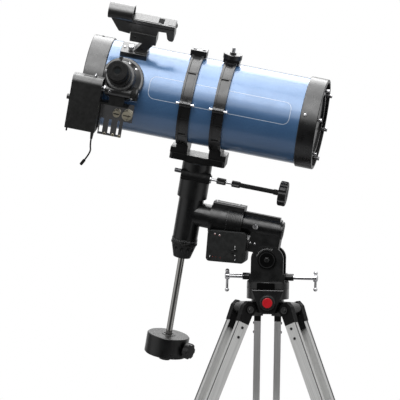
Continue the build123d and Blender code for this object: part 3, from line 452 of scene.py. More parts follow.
def printed(name, colour, coat=0.0):
    """Printed paint with slightly uneven cover."""
    shader = Shader(name, colour, 0.5, Coat_Weight=coat, Coat_Roughness=0.19)
    shader.shade(shader.noise(500, 3), 0.8, 0.5, 0.8)
    return shader.material


def glass(name, colour, clear=0.7, shine=0.5):
    """A coated lens: clear, or opaque and dark with painted shade of the unlit barrel behind it."""
    shader = Shader(
        name, colour, 0.04, Transmission_Weight=clear, IOR=1.5, Specular_IOR_Level=shine,
    )
    shader.shade(shader.noise(30, 2), 0.8, 0.5, 0.8)
    shader.wear(shader.noise(60, 2), 0.02, 0.06)
    return shader.material


BLUE = flake_paint("blue_flake_paint", (0.060, 0.156, 0.335), (0.13, 0.28, 0.50))
CASTING = enamel("black_casting", (0.0028, 0.0030, 0.0033), 0.32, 1300, 0.12, 0.6)
RING_BLACK = enamel("black_ring_enamel", (0.0050, 0.0050, 0.0054), 0.29, 1700, 0.08, 0.65, 0.25)
FOCUSER_BLACK = enamel("focuser_enamel", (0.0060, 0.0060, 0.0064), 0.34, 1700, 0.08, 1.0, 0.8)
MOULDED = moulded("black_moulding", (0.0032, 0.0032, 0.0036), 0.42)
CASE_BLACK = moulded("black_case", (0.0050, 0.0056, 0.0056), 0.44)
MOTOR_BLACK = moulded("motor_case", (0.0120, 0.0122, 0.0118), 0.36, 0.8)
FINDER_BLACK = moulded("finder_moulding", (0.0060, 0.0060, 0.0058), 0.34, 1.0, 0.9)
MATT_BLACK = moulded("matt_black", (0.0026, 0.0026, 0.0028), 0.58, 0.22)
COVER_BLACK = moulded("black_cover", (0.0012, 0.0012, 0.0013), 0.70, 0.06)
TUBE_INSIDE = rubber("flat_black_lining", (0.006, 0.006, 0.006))
RUBBER = rubber("black_rubber", (0.012, 0.012, 0.012))
CHROME = plated("chrome_plating", (0.82, 0.82, 0.84), 0.12)
STEEL = plated("bright_steel", (0.62, 0.62, 0.63), 0.24)
DARK_STEEL = plated("dark_steel", (0.20, 0.20, 0.21), 0.30)
BRASS = plated("pale_brass", (0.64, 0.59, 0.46), 0.32, 0.7)
MIRROR = plated("mirror_coating", (0.90, 0.91, 0.92), 0.03)
BAR_CHROME = drawn_metal("chrome_bar", (0.56, 0.55, 0.53), 0.10, RA, 0.01, 700, 0.06)
LEG_COLOUR = (0.78, 0.78, 0.77)
LEG_METAL = {
    side: drawn_metal(f"satin_aluminium_{side}", LEG_COLOUR, 0.42, place, 0.012, 1100, 0.12, 0.5)
    for side, place in LEGS.items()
}
RED = gloss_plastic("red_plastic", (0.66, 0.012, 0.022))
WHITE_PRINT = printed("white_print", (0.85, 0.86, 0.86))
PINSTRIPE = printed("white_pinstripe", (0.66, 0.74, 0.84), 1.0)
# Dark strips along the leg bars: painted shade of grooves.
GROOVE_SHADE = printed("painted_groove_shade", (0.045, 0.045, 0.048))
GREY_PRINT = printed("grey_print", (0.30, 0.30, 0.31))
LENS = glass("coated_lens", (0.55, 0.62, 0.75))
# The eyepiece's lens is opaque and nearly black: painted shade of the unlit barrel seen through it;
# its faint coated reflection is its own.
SHADED_EYE_LENS = glass("eye_lens_painted_shade", (0.006, 0.009, 0.011), 0.0, 0.06)
RED_GLASS = glass("red_lens", (0.5, 0.08, 0.06))

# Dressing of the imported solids
ROUNDING = 0.5
SHARP = 35
FILLETED = 60
WELD = 0.01
FACING = 0.9


def dress(name, material, *zones, place=None, rounding=ROUNDING, sharp=SHARP):
    """Give a solid its material, other materials in some zones of place, and softened edges."""
    node = NODES[name]
    node.data.materials.clear()
    for part in (material, *(zone[0] for zone in zones)):
        node.data.materials.append(part)
    local = (place or Matrix.Identity(4)).inverted()
    turn = local.to_3x3()
    for face in node.data.polygons:
        face.material_index = 0
        centre = (local @ face.center) / MM
        normal = turn @ face.normal
        for index, (_, test) in enumerate(zones, 1):
            if test(centre, normal):
                face.material_index = index
    if rounding:
        weld = node.modifiers.new("weld", "WELD")
        weld.merge_threshold = WELD * MM
        bevel = node.modifiers.new("rounding", "BEVEL")
        bevel.width = rounding * MM
        bevel.segments = 2
        bevel.limit_method = "ANGLE"
        bevel.angle_limit = math.radians(sharp)
        bevel.harden_normals = True
        bevel.use_clamp_overlap = True
        shading = node.modifiers.new("shading", "WEIGHTED_NORMAL")
        shading.keep_sharp = True


def foot_zone(centre, normal):
    """The rubber foot at the low end of a leg, outside and below the sliding tube."""
    wide, deep = SLIDER_HALF
    outside = abs(centre.x) > wide or abs(centre.y) > deep
    up = centre.z + LEG_LENGTH
    return up < FOOT_CORE or (outside and up < FOOT_LONG + 1)


def disc_zone(centre, normal):
    """The round covers on the outer sides of the fork."""
    return abs(normal.y) > FACING and abs(centre.y) > FORK_FACE + 3


def worm_shade_zone(centre, normal):
    """The worm's bulge across the declination housing, matt and a touch darker: painted shade
    dulling its highlight, as the mount head lies in the tube's shade.
    """
    return math.hypot(centre.y - DEC_WORM, centre.z - WORM_UP) < WORM_SHADE_REACH


def shaft_zone(centre, normal):
    """The bare lengths of the slow-motion shaft, at the housing and between its couplings."""
    return 55.5 < centre.x < 74.5 or centre.x < 43.4


def stub_zone(centre, normal):
    """The slow-motion shaft's other end."""
    return centre.x < 0


def stop_zone(centre, normal):
    """The stop at the low end of the counterweight bar."""
    return centre.z < BAR_STOP


def pin_zone(centre, normal):
    """The hinge pins of the tube rings."""
    return math.hypot(centre.y - RING_HINGE[0], centre.z - RING_HINGE[1]) < 2.5


def stud_zone(centre, normal):
    """The camera stud on the rear ring."""
    return centre.z > TUBE_RADIUS + 22.5 and math.hypot(centre.x - RING_APART / 2, centre.y) < 3.4


def lining_zone(centre, normal):
    """The inside of the tube."""
    return math.hypot(centre.y, centre.z) < TUBE_RADIUS - 0.8


def cell_screw_zone(centre, normal):
    """The screws behind the mirror cell."""
    return centre.x > TUBE_REAR - 1 and math.hypot(centre.y, centre.z) < 72


def holder_zone(centre, normal):
    """The eyepiece holder on the draw tube."""
    return centre.z > 137.5


def lens_zone(centre, normal):
    """The front of the eyepiece's lens."""
    return normal.z > FACING and abs(centre.z - EYE_LENS_UP) < 0.2


def bracket_zone(centre, normal):
    """The bright plates of the focus motor's bracket."""
    return centre.x > MOTOR_X1 + 0.1 and centre.y > PLATE_Y - 3


def nut_zone(centre, normal):
    """The thumb nuts on the focus motor's bracket."""
    return centre.x > MOTOR_X1 + 20 and -12.5 < centre.y - PLATE_Y < -2.6 and centre.z < -20


def window_zone(centre, normal):
    """Both faces of the finder's window."""
    return abs(normal.x) > FACING and abs(centre.x - WINDOW_X) < 1.2


PLAIN_SOLIDS = (
    (MOULDED, (
        "azimuth_knob", "accessory_tray", "drive_switch", "slow_motion_knob", "counterweight_nut",
        "counterweight_screw", "ring_knob_front", "ring_knob_rear", "focus_pinion", "finder_dial",
    )),
    (CASTING, ("polar_housing", "ra_setting_circle", "dec_setting_circle", "saddle")),
    (RING_BLACK, ("tripod_hub", "ring_upper_front")),
    (CHROME, ("latitude_bolt_front", "latitude_bolt_rear")),
    (STEEL, ("ra_worm", "ra_clamp_screw", "ra_axis")),
    (DARK_STEEL, ("dec_clamp_screw",)),
    (RED, ("azimuth_knob_cap",)),
    (CASE_BLACK, ("drive_case",)),
    (TUBE_INSIDE, ("spider",)),
    (MIRROR, ("secondary_mirror",)),
    (FOCUSER_BLACK, ("focuser_body",)),
    (FINDER_BLACK, ("finder_bracket",)),
    (RUBBER, ("cord_plug",)),
)
for material, names in PLAIN_SOLIDS:
    for name in names:
        dress(name, material)
for side, place in LEGS.items():
    dress(f"leg_{side}_fittings", MATT_BLACK)
    dress(f"leg_{side}_bars", LEG_METAL[side], rounding=0.4)
    dress(f"leg_{side}_slider", LEG_METAL[side], (RUBBER, foot_zone), place=place)
    dress(f"leg_{side}_knob", MOULDED)
    dress(f"leg_{side}_strut", MOULDED)
dress("azimuth_base", CASTING, (COVER_BLACK, disc_zone), place=AZIMUTH)
# The worm's bulge is matt black: painted shade in place of the tube's shadow over it.
dress("dec_housing", CASTING, (MATT_BLACK, worm_shade_zone), place=RA)
dress("slow_motion_cable", RUBBER, (STEEL, shaft_zone), (DARK_STEEL, stub_zone), place=RA)
dress("counterweight_bar", BAR_CHROME, (MOULDED, stop_zone), place=RA)
dress("counterweight", CASTING, sharp=FILLETED)
dress("ring_lower_halves", RING_BLACK, (STEEL, pin_zone), place=OTA)
dress("ring_upper_rear", RING_BLACK, (STEEL, stud_zone), place=OTA)
dress("main_tube", BLUE, (TUBE_INSIDE, lining_zone), place=OTA, rounding=0)
dress("front_ring", RING_BLACK, sharp=FILLETED)
dress("mirror_cell", RING_BLACK, (STEEL, cell_screw_zone), place=OTA, sharp=FILLETED)
dress("primary_mirror", MIRROR, rounding=0.8)
dress("draw_tube", CHROME, (MOULDED, holder_zone), place=FOCUSER)
# The eyepiece's lens zone carries painted shade of the barrel behind it.
dress("eyepiece", MATT_BLACK, (SHADED_EYE_LENS, lens_zone), place=FOCUSER, sharp=FILLETED)
dress("focus_motor", MOTOR_BLACK, (CHROME, bracket_zone), (BRASS, nut_zone), place=OTA)
dress("finder_body", FINDER_BLACK, (LENS, window_zone), place=FINDER)

# Focus motor lead: the route of its solid, hanging from the strain relief
CORD_ROUTE = (
    (-188, -116, -82),
    (-188, -116, -94),
    (-184, -119, -106),
    (-194, -114, -124),
)
CORD_RADIUS = 1.5


def make_cord():
    """The lead as one smooth spline along its route."""
    data = bpy.data.curves.new("motor_lead", "CURVE")
    data.dimensions = "3D"
    data.bevel_depth = CORD_RADIUS * MM
    data.bevel_resolution = 5
    data.resolution_u = 16
    data.use_fill_caps = True
    spline = data.splines.new("NURBS")
    spline.points.add(len(CORD_ROUTE) - 1)
    for point, place in zip(spline.points, CORD_ROUTE):
        point.co = (*(OTA @ mm(*place)), 1)
    spline.order_u = 3
    spline.use_endpoint_u = True
    lead = bpy.data.objects.new("motor_lead", data)
    bpy.context.scene.collection.objects.link(lead)
    data.materials.append(RUBBER)
    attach(lead, "declination")
    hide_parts("motor_cord")


make_cord()

# Small details, gathered into one mesh per body and area
SMOOTH = 32
PRINT_RAISED = 0.08
MARK_RAISED = 0.06


def circle(radius, height, sides):
    """Points round the Z axis at a height."""
    angles = (i * math.tau / sides for i in range(sides))
    return [(radius * math.cos(a), radius * math.sin(a), height) for a in angles]


class Kit:
    """Small pieces that ride on one body, in one mesh with several materials, in millimetres."""

    def __init__(self, name, body, slot):
        self.name = name
        self.body = body
        self.slot = slot
        self.materials = []
        self.mesh = bmesh.new()

    def skin(self, place, rings, material, closed=False):
        """A skin over rings of points, closed into a loop or capped at both ends."""
        if material not in self.materials:
            self.materials.append(material)
        rows = [[self.mesh.verts.new(place @ mm(*point)) for point in ring] for ring in rings]
        pairs = list(zip(rows, rows[1:]))
        if closed:
            pairs.append((rows[-1], rows[0]))
        count = len(rows[0])
        faces = [
            (low[i], low[(i + 1) % count], high[(i + 1) % count], high[i])
            for low, high in pairs
            for i in range(count)
        ]
        if not closed:
            faces += [tuple(reversed(rows[0])), tuple(rows[-1])]
        for corners in faces:
            face = self.mesh.faces.new(corners)
            face.material_index = self.materials.index(material)
            face.smooth = True

    def turned(self, place, profile, material, sides=40):
        """A turned piece: (radius, height) pairs round the Z of place."""
        self.skin(place, [circle(radius, height, sides) for radius, height in profile], material)

    def sleeve(self, place, profile, material, sides=64):
        """A turned ring: a closed profile of (radius, height) pairs round the Z of place."""
        self.skin(place, [
            [(r * math.cos(a), r * math.sin(a), h) for r, h in profile]
            for a in (i * math.tau / sides for i in range(sides))
        ], material, closed=True)

    def prism(self, place, outline, low, high, material, edge=0.0):
        """An outline in XY raised from low to high, with a chamfered top edge."""
        middle = sum((Vector(p) for p in outline), Vector((0, 0))) / len(outline)
        reach = max((Vector(p) - middle).length for p in outline)
        inset = [middle + (Vector(p) - middle) * (1 - edge / reach) for p in outline]
        rings = [[(*p, low) for p in outline], [(*p, high - edge) for p in outline]]
        if edge:
            rings.append([(*p, high) for p in inset])
        self.skin(place, rings, material)

    def beam(self, place, size, material, edge=0.0):
        """A block centred on place's XY and standing on it, with chamfered top edges."""
        x, y, z = size
        outline = [(-x / 2, -y / 2), (x / 2, -y / 2), (x / 2, y / 2), (-x / 2, y / 2)]
        self.prism(place, outline, 0, z, material, edge)

    def knurled(self, place, radius, low, high, teeth, material, depth):
        """A round grip with fine teeth along its axis."""
        outline = [
            (r * math.cos(a), r * math.sin(a))
            for i in range(2 * teeth)
            for a, r in ((i * math.pi / teeth, radius if i % 2 else radius - depth),)
        ]
        self.prism(place, outline, low, high, material, 2 * depth)

    def screw(self, place, radius, height, material):
        """A pan-head screw, its cross recess drawn as dark plastic: painted shade in the recess."""
        self.turned(place, [
            (radius, 0), (radius, 0.35 * height), (0.86 * radius, 0.75 * height),
            (0.5 * radius, 0.97 * height), (0.02 * radius, height),
        ], material, 24)
        top = at(place, (0, 0, 0.72 * height))
        # The cross is dark moulding: painted shade in the recess.
        for turn in (0, 90):
            self.beam(turned_z(top, turn), (1.1 * radius, 0.24 * radius, 0.3 * height), MOULDED)

    def socket_screw(self, place, radius, height, material):
        """A cap screw, its six-sided socket drawn as dark plastic: painted shade in the socket."""
        self.turned(place, [
            (radius, 0), (radius, 0.85 * height), (0.92 * radius, height), (0.02 * radius, height),
        ], material, 28)
        # The socket is dark moulding: painted shade in the recess.
        socket = [point[:2] for point in circle(0.5 * radius, 0, 6)]
        self.prism(place, socket, 0.8 * height, 1.02 * height, MOULDED)

    def marks(self, place, radius, low, lengths, last, count, width):
        """Printed marks round the Z of place, of repeating lengths, from zero to the last angle."""
        for i in range(count):
            long = lengths[i % len(lengths)]
            turned = turned_z(place, last * i / (count - 1))
            spot = at(turned, (radius, 0, low + long / 2), ALONG)
            self.beam(spot, (long, width, MARK_RAISED), GREY_PRINT)

    def finish(self):
        """Make the object and let it ride on its body."""
        bmesh.ops.recalc_face_normals(self.mesh, faces=self.mesh.faces)
        data = bpy.data.meshes.new(self.name)
        self.mesh.to_mesh(data)
        self.mesh.free()
        for material in self.materials:
            data.materials.append(material)
        data.set_sharp_from_angle(angle=math.radians(SMOOTH))
        piece = bpy.data.objects.new(self.name, data)
        bpy.context.scene.collection.objects.link(piece)
        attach(piece, self.body)


def around_tube(turn, radius, along):
    """A frame on the tube at an angle from its top to the front: Z outwards, Y along the tube."""
    angle = math.radians(turn)
    outward = Vector((0, -math.sin(angle), math.cos(angle)))
    origin = OTA @ (mm(along, 0, 0) + outward * radius * MM)
    return frame_of(origin, OTA.to_3x3() @ outward.cross(Vector(ALONG)), OTA.to_3x3() @ outward)


def around_focuser(turn, radius, up, slope=0):
    """A frame beside the focuser's axis: Z points outwards and rises by a slope."""
    angle = math.radians(turn)
    outward = Vector((math.cos(angle), math.sin(angle), 0))
    return at(FOCUSER, outward * radius + UP * up, outward + UP * slope)


def on_polar_axis(along):
    """A frame on the polar axis, Z along it, so far from the declination axis."""
    return at(POLE, (along - DEC_BACK, 0, POLAR_UP), ALONG)


def on_cable(along):
    """A frame on the slow-motion cable, Z along it."""
    return at(RA, (along, DEC_WORM, WORM_UP), ALONG)


# Tube: plain pinstripe outline and the screws of its end rings
STRIPE_FROM = -103
STRIPE_TO = 161
STRIPE_TURNS = (56, 86)
STRIPE_CORNER = 12
STRIPE_WIDE = 0.85
STRIPE_RAISED = 0.08
STRIPE_STEP = 1.5
CORNER_STEPS = 10
END_SCREWS = (68.5, 188.5, 308.5)
FRONT_SCREWS_ON = 47


def tube_details():
    """The rounded outline on the tube and the screws that hold its end rings."""
    kit = Kit("tube_trim", "declination", "blue_paint")
    low, high = (TUBE_RADIUS * math.radians(turn) for turn in STRIPE_TURNS)
    corners = (
        (STRIPE_TO - STRIPE_CORNER, high - STRIPE_CORNER, 0),
        (STRIPE_FROM + STRIPE_CORNER, high - STRIPE_CORNER, 90),
        (STRIPE_FROM + STRIPE_CORNER, low + STRIPE_CORNER, 180),
        (STRIPE_TO - STRIPE_CORNER, low + STRIPE_CORNER, 270),
    )
    path = []
    for x, arc, start in corners:
        for step in range(CORNER_STEPS + 1):
            angle = math.radians(start + 90 * step / CORNER_STEPS)
            way = Vector((math.cos(angle), math.sin(angle)))
            path.append((Vector((x, arc)) + way * STRIPE_CORNER, way))
    rings = []
    for (spot, way), (beyond, _) in zip(path, path[1:] + path[:1]):
        steps = max(1, round(abs(beyond.y - spot.y) / STRIPE_STEP))
        for step in range(steps):
            ring = []
            for side, raised in ((-1, -1), (-1, 1), (1, 1), (1, -1)):
                flat = spot.lerp(beyond, step / steps) + way * side * STRIPE_WIDE / 2
                turn = flat.y / TUBE_RADIUS
                out = TUBE_RADIUS + raised * STRIPE_RAISED
                ring.append((flat.x, -out * math.sin(turn), out * math.cos(turn)))
            rings.append(ring)
    kit.skin(OTA, rings, PINSTRIPE, closed=True)
    for turn in END_SCREWS:
        kit.screw(around_tube(turn, TUBE_RADIUS + 4, TUBE_REAR - 24), 3.4, 2.2, STEEL)
        front = around_tube(turn + FRONT_SCREWS_ON, TUBE_RADIUS + 3, 16 - TUBE_FRONT)
        kit.screw(front, 2.6, 1.4, MOULDED)
    kit.finish()


# Tube rings
RINGS = {"front": -RING_APART / 2, "rear": RING_APART / 2}
UPPER_RIBS = (42.5, 75.5, -42.5, -75.5)
LOWER_RIBS = (104, 130, -104, -130)
RIB_SIZE = (3, RING_WIDE - 1, 2.6)
RIB_SUNK = 2.2


def ring_ribs(kit, x, turns):
    """Ribs across the channel of a tube ring, at angles from the top."""
    for turn in turns:
        kit.beam(around_tube(turn, RING_OUT - RIB_SUNK, x), RIB_SIZE, CASTING, 0.5)


def ring_details():
    """Ribs across the tube rings, cap screws on the front one and the ends of the hinge pins."""
    for name, x in RINGS.items():
        kit = Kit(f"ring_ribs_{name}", f"ring_upper_{name}", "black_casting")
        ring_ribs(kit, x, UPPER_RIBS)
        if name == "front":
            for side in (-1, 1):
                kit.socket_screw(at(OTA, (x + side * 8.5, 0, TUBE_RADIUS + 15)), 3.2, 1.6, STEEL)
        kit.finish()
    kit = Kit("ring_ribs_lower", "declination", "black_casting")
    for x in RINGS.values():
        ring_ribs(kit, x, LOWER_RIBS)
        for side in (-1, 1):
            pin_end = at(OTA, (x + side * 15, *RING_HINGE), (side, 0, 0))
            kit.turned(pin_end, [(3, 0), (3, 1.2), (2, 2.4), (0.1, 2.8)], CHROME, 24)
    kit.finish()


# Knobs and shafts
CABLE_COUPLINGS = ((44, 59), (72, 86))
CABLE_FOLDS = 30
CABLE_START = 89
FOLD_STEP = 2.05
CABLE_END = 175


def knob_details():
    """Grips on the knobs, and what turns with the focus shaft and the slow-motion cable."""
    for name, x in RINGS.items():
        kit = Kit(f"ring_knob_grip_{name}", f"ring_knob_{name}", "black_plastic")
        kit.knurled(at(OTA, (x, *RING_KNOB)), 8.7, 1, 11, 22, MOULDED, 0.7)
        kit.finish()
    kit = Kit("azimuth_knob_grip", "azimuth_knob", "black_plastic")
    kit.knurled(at(TRIPOD, (0, KNOB_FACE, KNOB_UP), FORWARD), 14.7, 0, 9.4, 30, MOULDED, 0.8)
    kit.finish()
    kit = Kit("focus_knob_grip", "focus_pinion", "black_plastic")
    kit.knurled(at(FOCUSER, (25.5, *PINION), ALONG), 12.6, 0, 9.5, 32, RUBBER, 0.7)
    cap = [(4, 0), (4, 0.4), (3, 0.8), (0.1, 0.8)]
    kit.turned(at(FOCUSER, (38, *PINION), ALONG), cap, STEEL, 24)
    coupling = [(3, 0), (6, 0), (6, 3.2), (3, 3.2)]
    kit.sleeve(at(OTA, (MOTOR_X1 + 0.4, SHAFT_Y, SHAFT_Z), ALONG), coupling, CHROME, 32)
    set_screw = [(1.9, -1), (1.9, 0.5), (1.2, 0.9), (0.1, 0.9)]
    kit.turned(at(OTA, (-126.5, -120.2, 7.4), (0, -0.8, -0.6)), set_screw, CHROME, 20)
    kit.finish()
    kit = Kit("slow_motion_grip", "slow_motion", "black_plastic")
    kit.turned(on_cable(CABLE_END), [(9, -0.2), (9, 0.6), (8, 1.1), (0.1, 1.1)], CASTING)
    for first, last in CABLE_COUPLINGS:
        kit.knurled(on_cable(first), 6, 0, last - first, 24, CASTING, 0.6)
    fold = [(3.9, -0.8), (4.35, -0.45), (4.35, 0.45), (3.9, 0.8)]
    for i in range(CABLE_FOLDS):
        kit.sleeve(on_cable(CABLE_START + FOLD_STEP * i), fold, RUBBER, 20)
    kit.finish()


# Setting circles
RA_RIBS = 7
RA_RIBS_FROM = 76
RA_RIB_STEP = 3.2
RA_MARKS_AT = 72.6


def circle_details():
    """Fine ribs round the polar circle, a knurl on the other one, and marks on both."""
    kit = Kit("ra_circle_ribs", "ra_setting_circle", "black_casting")
    rib = [(27.8, -0.9), (28.5, -0.5), (28.5, 0.5), (27.8, 0.9)]
    for i in range(RA_RIBS):
        kit.sleeve(on_polar_axis(RA_RIBS_FROM + RA_RIB_STEP * i), rib, CASTING, 72)
    kit.marks(on_polar_axis(RA_MARKS_AT), DRUM_RADIUS, 0, (2, 1.2), 350, 48, 0.35)
    kit.finish()
    kit = Kit("dec_circle_marks", "dec_setting_circle", "black_casting")
    low = at(RA, (0, 0, DEC_CIRCLE))
    kit.marks(low, 23.8, 7.2, (3.4, 2, 2), 355, 72, 0.4)
    kit.knurled(low, 24.2, 0.4, 5.4, 60, CASTING, 0.5)
    kit.finish()


# Mount head
SCALE_TURNS = {-1: (-25, 70), 1: (110, 205)}
SCALE_MARKS = 20
SCALE_RADIUS = 19.2


def mount_details():
    """The latitude scale, the pivot's covers, and fasteners and end cap of the polar housing."""
    kit = Kit("latitude_scale", "azimuth", "black_casting")
    for side, (first, last) in SCALE_TURNS.items():
        face = at(AZIMUTH, (0, side * FORK_FACE, PIVOT_UP), (0, side, 0))
        for i in range(SCALE_MARKS):
            long = 2.6 if i % 5 == 0 else 1.5
            turned = turned_z(face, first + (last - first) * i / (SCALE_MARKS - 1))
            spot = at(turned, (0, SCALE_RADIUS + long / 2, 0))
            kit.beam(spot, (0.4, long, PRINT_RAISED), WHITE_PRINT)
        cover = at(AZIMUTH, (0, side * (FORK_FACE + FORK_COVER), PIVOT_UP), (0, side, 0))
        kit.sleeve(cover, [(13, -0.3), (13, 0.5), (15, 0.5), (15, -0.3)], CASTING)
        kit.turned(cover, [(5, 0), (5, 1.2), (4, 1.8), (0.1, 1.8)], CASTING, 6)
    for way in (-1, 1):
        nut = at(AZIMUTH, (way * 47, 0, LATITUDE_BOLT_UP), (way, 0, 0))
        kit.turned(nut, [(6.6, -9), (6.6, -1.5), (5.4, 0), (4.2, 0)], CASTING, 6)
    kit.finish()
    kit = Kit("polar_fasteners", "latitude", "worm_steel")
    for x, z, radius in ((-37.2, 23.9, 2.2), (-28.7, 23.7, 2.4)):
        kit.screw(at(POLE, (x, -16.7, z), FORWARD), radius, 1.4, STEEL)
    for x in (-112, -70):
        for y in (-12, 12):
            kit.screw(at(POLE, (x, y, POLAR_UP + DRUM_COVER)), 2.4, 1.2, STEEL)
    end = on_polar_axis(POLAR_END)
    kit.sleeve(end, [(12, -0.5), (12, 0.8), (16, 0.8), (16.6, -0.5)], CASTING)
    kit.turned(end, [(7, 0), (7, 1), (6, 1.6), (0.1, 1.6)], CASTING, 36)
    kit.finish()


# Drive case: places on its front as x and z of the polar frame, and a leaning row of marks
CASE_LAMPS = ((-102, 29.5), (-93.3, 28.7))
CASE_DOTS = ((-98.5, -11.6), (-92.5, -11.6), (-84.5, -11.6))
CASE_SCREWS = ((-28, 16), (28, 16), (-28, -21), (28, -21))
MARK_ROW = ((13.6, 3.0), (9.3, 1.6), (-2.4, 2.0), (-10.4, 3.0))
MARK_ROW_X = -59
MARK_ROW_LEAN = 0.18
MARK_WIDE = 1.2


def on_case(x, z):
    """A frame on the front of the drive case, Z forwards."""
    return at(POLE, (x, CASE_FRONT, z), FORWARD)


def case_details():
    """Two small lamps and plain marks on the drive case's front, and the screws of its back."""
    kit = Kit("drive_case_trim", "latitude", "black_plastic")
    for x, z in CASE_LAMPS:
        lamp = on_case(x, z)
        kit.turned(lamp, [(1.9, -0.2), (1.9, 0.5), (1.2, 0.7), (0.1, 0.7)], STEEL, 24)
        kit.turned(lamp, [(1.1, 0.6), (1.0, 1.0), (0.1, 1.2)], RED_GLASS, 20)
    for z, long in MARK_ROW:
        mark = on_case(MARK_ROW_X - MARK_ROW_LEAN * z, z)
        kit.beam(mark, (MARK_WIDE, long, PRINT_RAISED), WHITE_PRINT)
    kit.beam(on_case(-104, -12.3), (MARK_WIDE, 3.4, PRINT_RAISED), WHITE_PRINT)
    for x, z in CASE_DOTS:
        kit.turned(on_case(x, z), [(0.9, 0), (0.7, 0.2), (0.1, 0.2)], RED_GLASS, 16)
    middle = at(POLE, (CASE_CENTRE[0], CASE_BACK, CASE_CENTRE[1]))
    panel = middle @ Matrix.Rotation(math.radians(CASE_LEAN), 4, "Y")
    for x, z in CASE_SCREWS:
        kit.screw(at(panel, (x, 0, z), BACKWARD), 2.3, 1.2, STEEL)
    kit.finish()


# Focuser, focus motor and finder
FLANGE_SCREWS = (43.5, 74, 163.5, 194, 283.5, 314)
FLANGE_SLOPE = 2
CLAMP_TURN = 100
CLAMP_UP = 118
BRACKET_FRONT = PLATE_Y - 2.5
THUMB_NUTS = ((30, 7.1), (50, 9.6))
BRACKET_SCREWS = (13, 28.5, 41)


def focuser_details():
    """Flange screws, the draw tube's clamp, the bracket's thumb nuts and rings on the eyepiece."""
    kit = Kit("focuser_fasteners", "declination", "worm_steel")
    for turn in FLANGE_SCREWS:
        kit.screw(around_focuser(turn, 31.8, 93.2, FLANGE_SLOPE), 2.8, 2.2, CHROME)
    stub = [(1.5, 0), (1.5, 5), (0.1, 5)]
    kit.turned(around_focuser(CLAMP_TURN, 26.8, CLAMP_UP), stub, MOULDED, 20)
    kit.knurled(around_focuser(CLAMP_TURN, 31.8, CLAMP_UP), 3.6, 0, 5, 18, MOULDED, 0.4)
    kit.screw(at(OTA, (-168.5, -119.8, 13.5), FORWARD), 3.0, 1.6, CHROME)
    for x, radius in THUMB_NUTS:
        nut = at(OTA, (MOTOR_X1 + x, BRACKET_FRONT, -31), FORWARD)
        kit.knurled(nut, radius, 1.2, 8.6, 26, BRASS, 0.6)
        kit.beam(at(nut, (0, 0, 9.3)), (1.5 * radius, 1.8, 0.3), MOULDED)
    for x in BRACKET_SCREWS:
        kit.socket_screw(at(OTA, (MOTOR_X1 + x, BRACKET_FRONT, -73.5), FORWARD), 2.6, 1.8, BRASS)
    kit.finish()
    kit = Kit("eyepiece_rings", "eyepiece", "black_plastic")
    face = at(FOCUSER, (0, 0, EYE_TOP))
    for radius in (15.2, 12.0):
        kit.sleeve(face, [
            (radius - 0.9, -0.4), (radius - 0.6, 0.35), (radius + 0.6, 0.35), (radius + 0.9, -0.4),
        ], MATT_BLACK)
    cup = [(9, -0.3), (8.8, 0.2), (5.4, -1.9), (5.4, -2.4), (9, -2.4)]
    kit.sleeve(face, cup, TUBE_INSIDE)
    kit.knurled(at(FOCUSER, (0, 0, 173.5)), 20.1, 0, 8.5, 54, RUBBER, 0.7)
    kit.finish()


def motor_details():
    """Top plate, clutch pin, cover screws and corner pins of the focus motor's case."""
    kit = Kit("motor_case_trim", "declination", "black_plastic")
    pin = [(1.6, -0.5), (1.6, 5), (1.0, 6), (0.1, 6)]
    for x in (MOTOR_X0 + 4, MOTOR_X1 - 4):
        kit.turned(at(OTA, (x, -131, MOTOR_LOW), DOWN), pin, MOULDED, 20)
    for z in (MOTOR_LOW + 8, MOTOR_TOP - 16):
        for y in (-128, -104):
            kit.screw(at(OTA, (MOTOR_X0, y, z), (-1, 0, 0)), 2.2, 1.2, STEEL)
    plate = at(OTA, ((MOTOR_X0 + MOTOR_X1) / 2, MOTOR_MIDDLE, MOTOR_TOP))
    kit.beam(plate, (20, 9, 0.5), MOTOR_BLACK, 0.4)
    clutch = [(2.6, -0.3), (2.6, 3), (1.6, 3.6), (1.6, 5.2), (0.1, 6)]
    kit.turned(at(OTA, (-198.5, MOTOR_MIDDLE, MOTOR_TOP)), clutch, CHROME, 28)
    kit.finish()


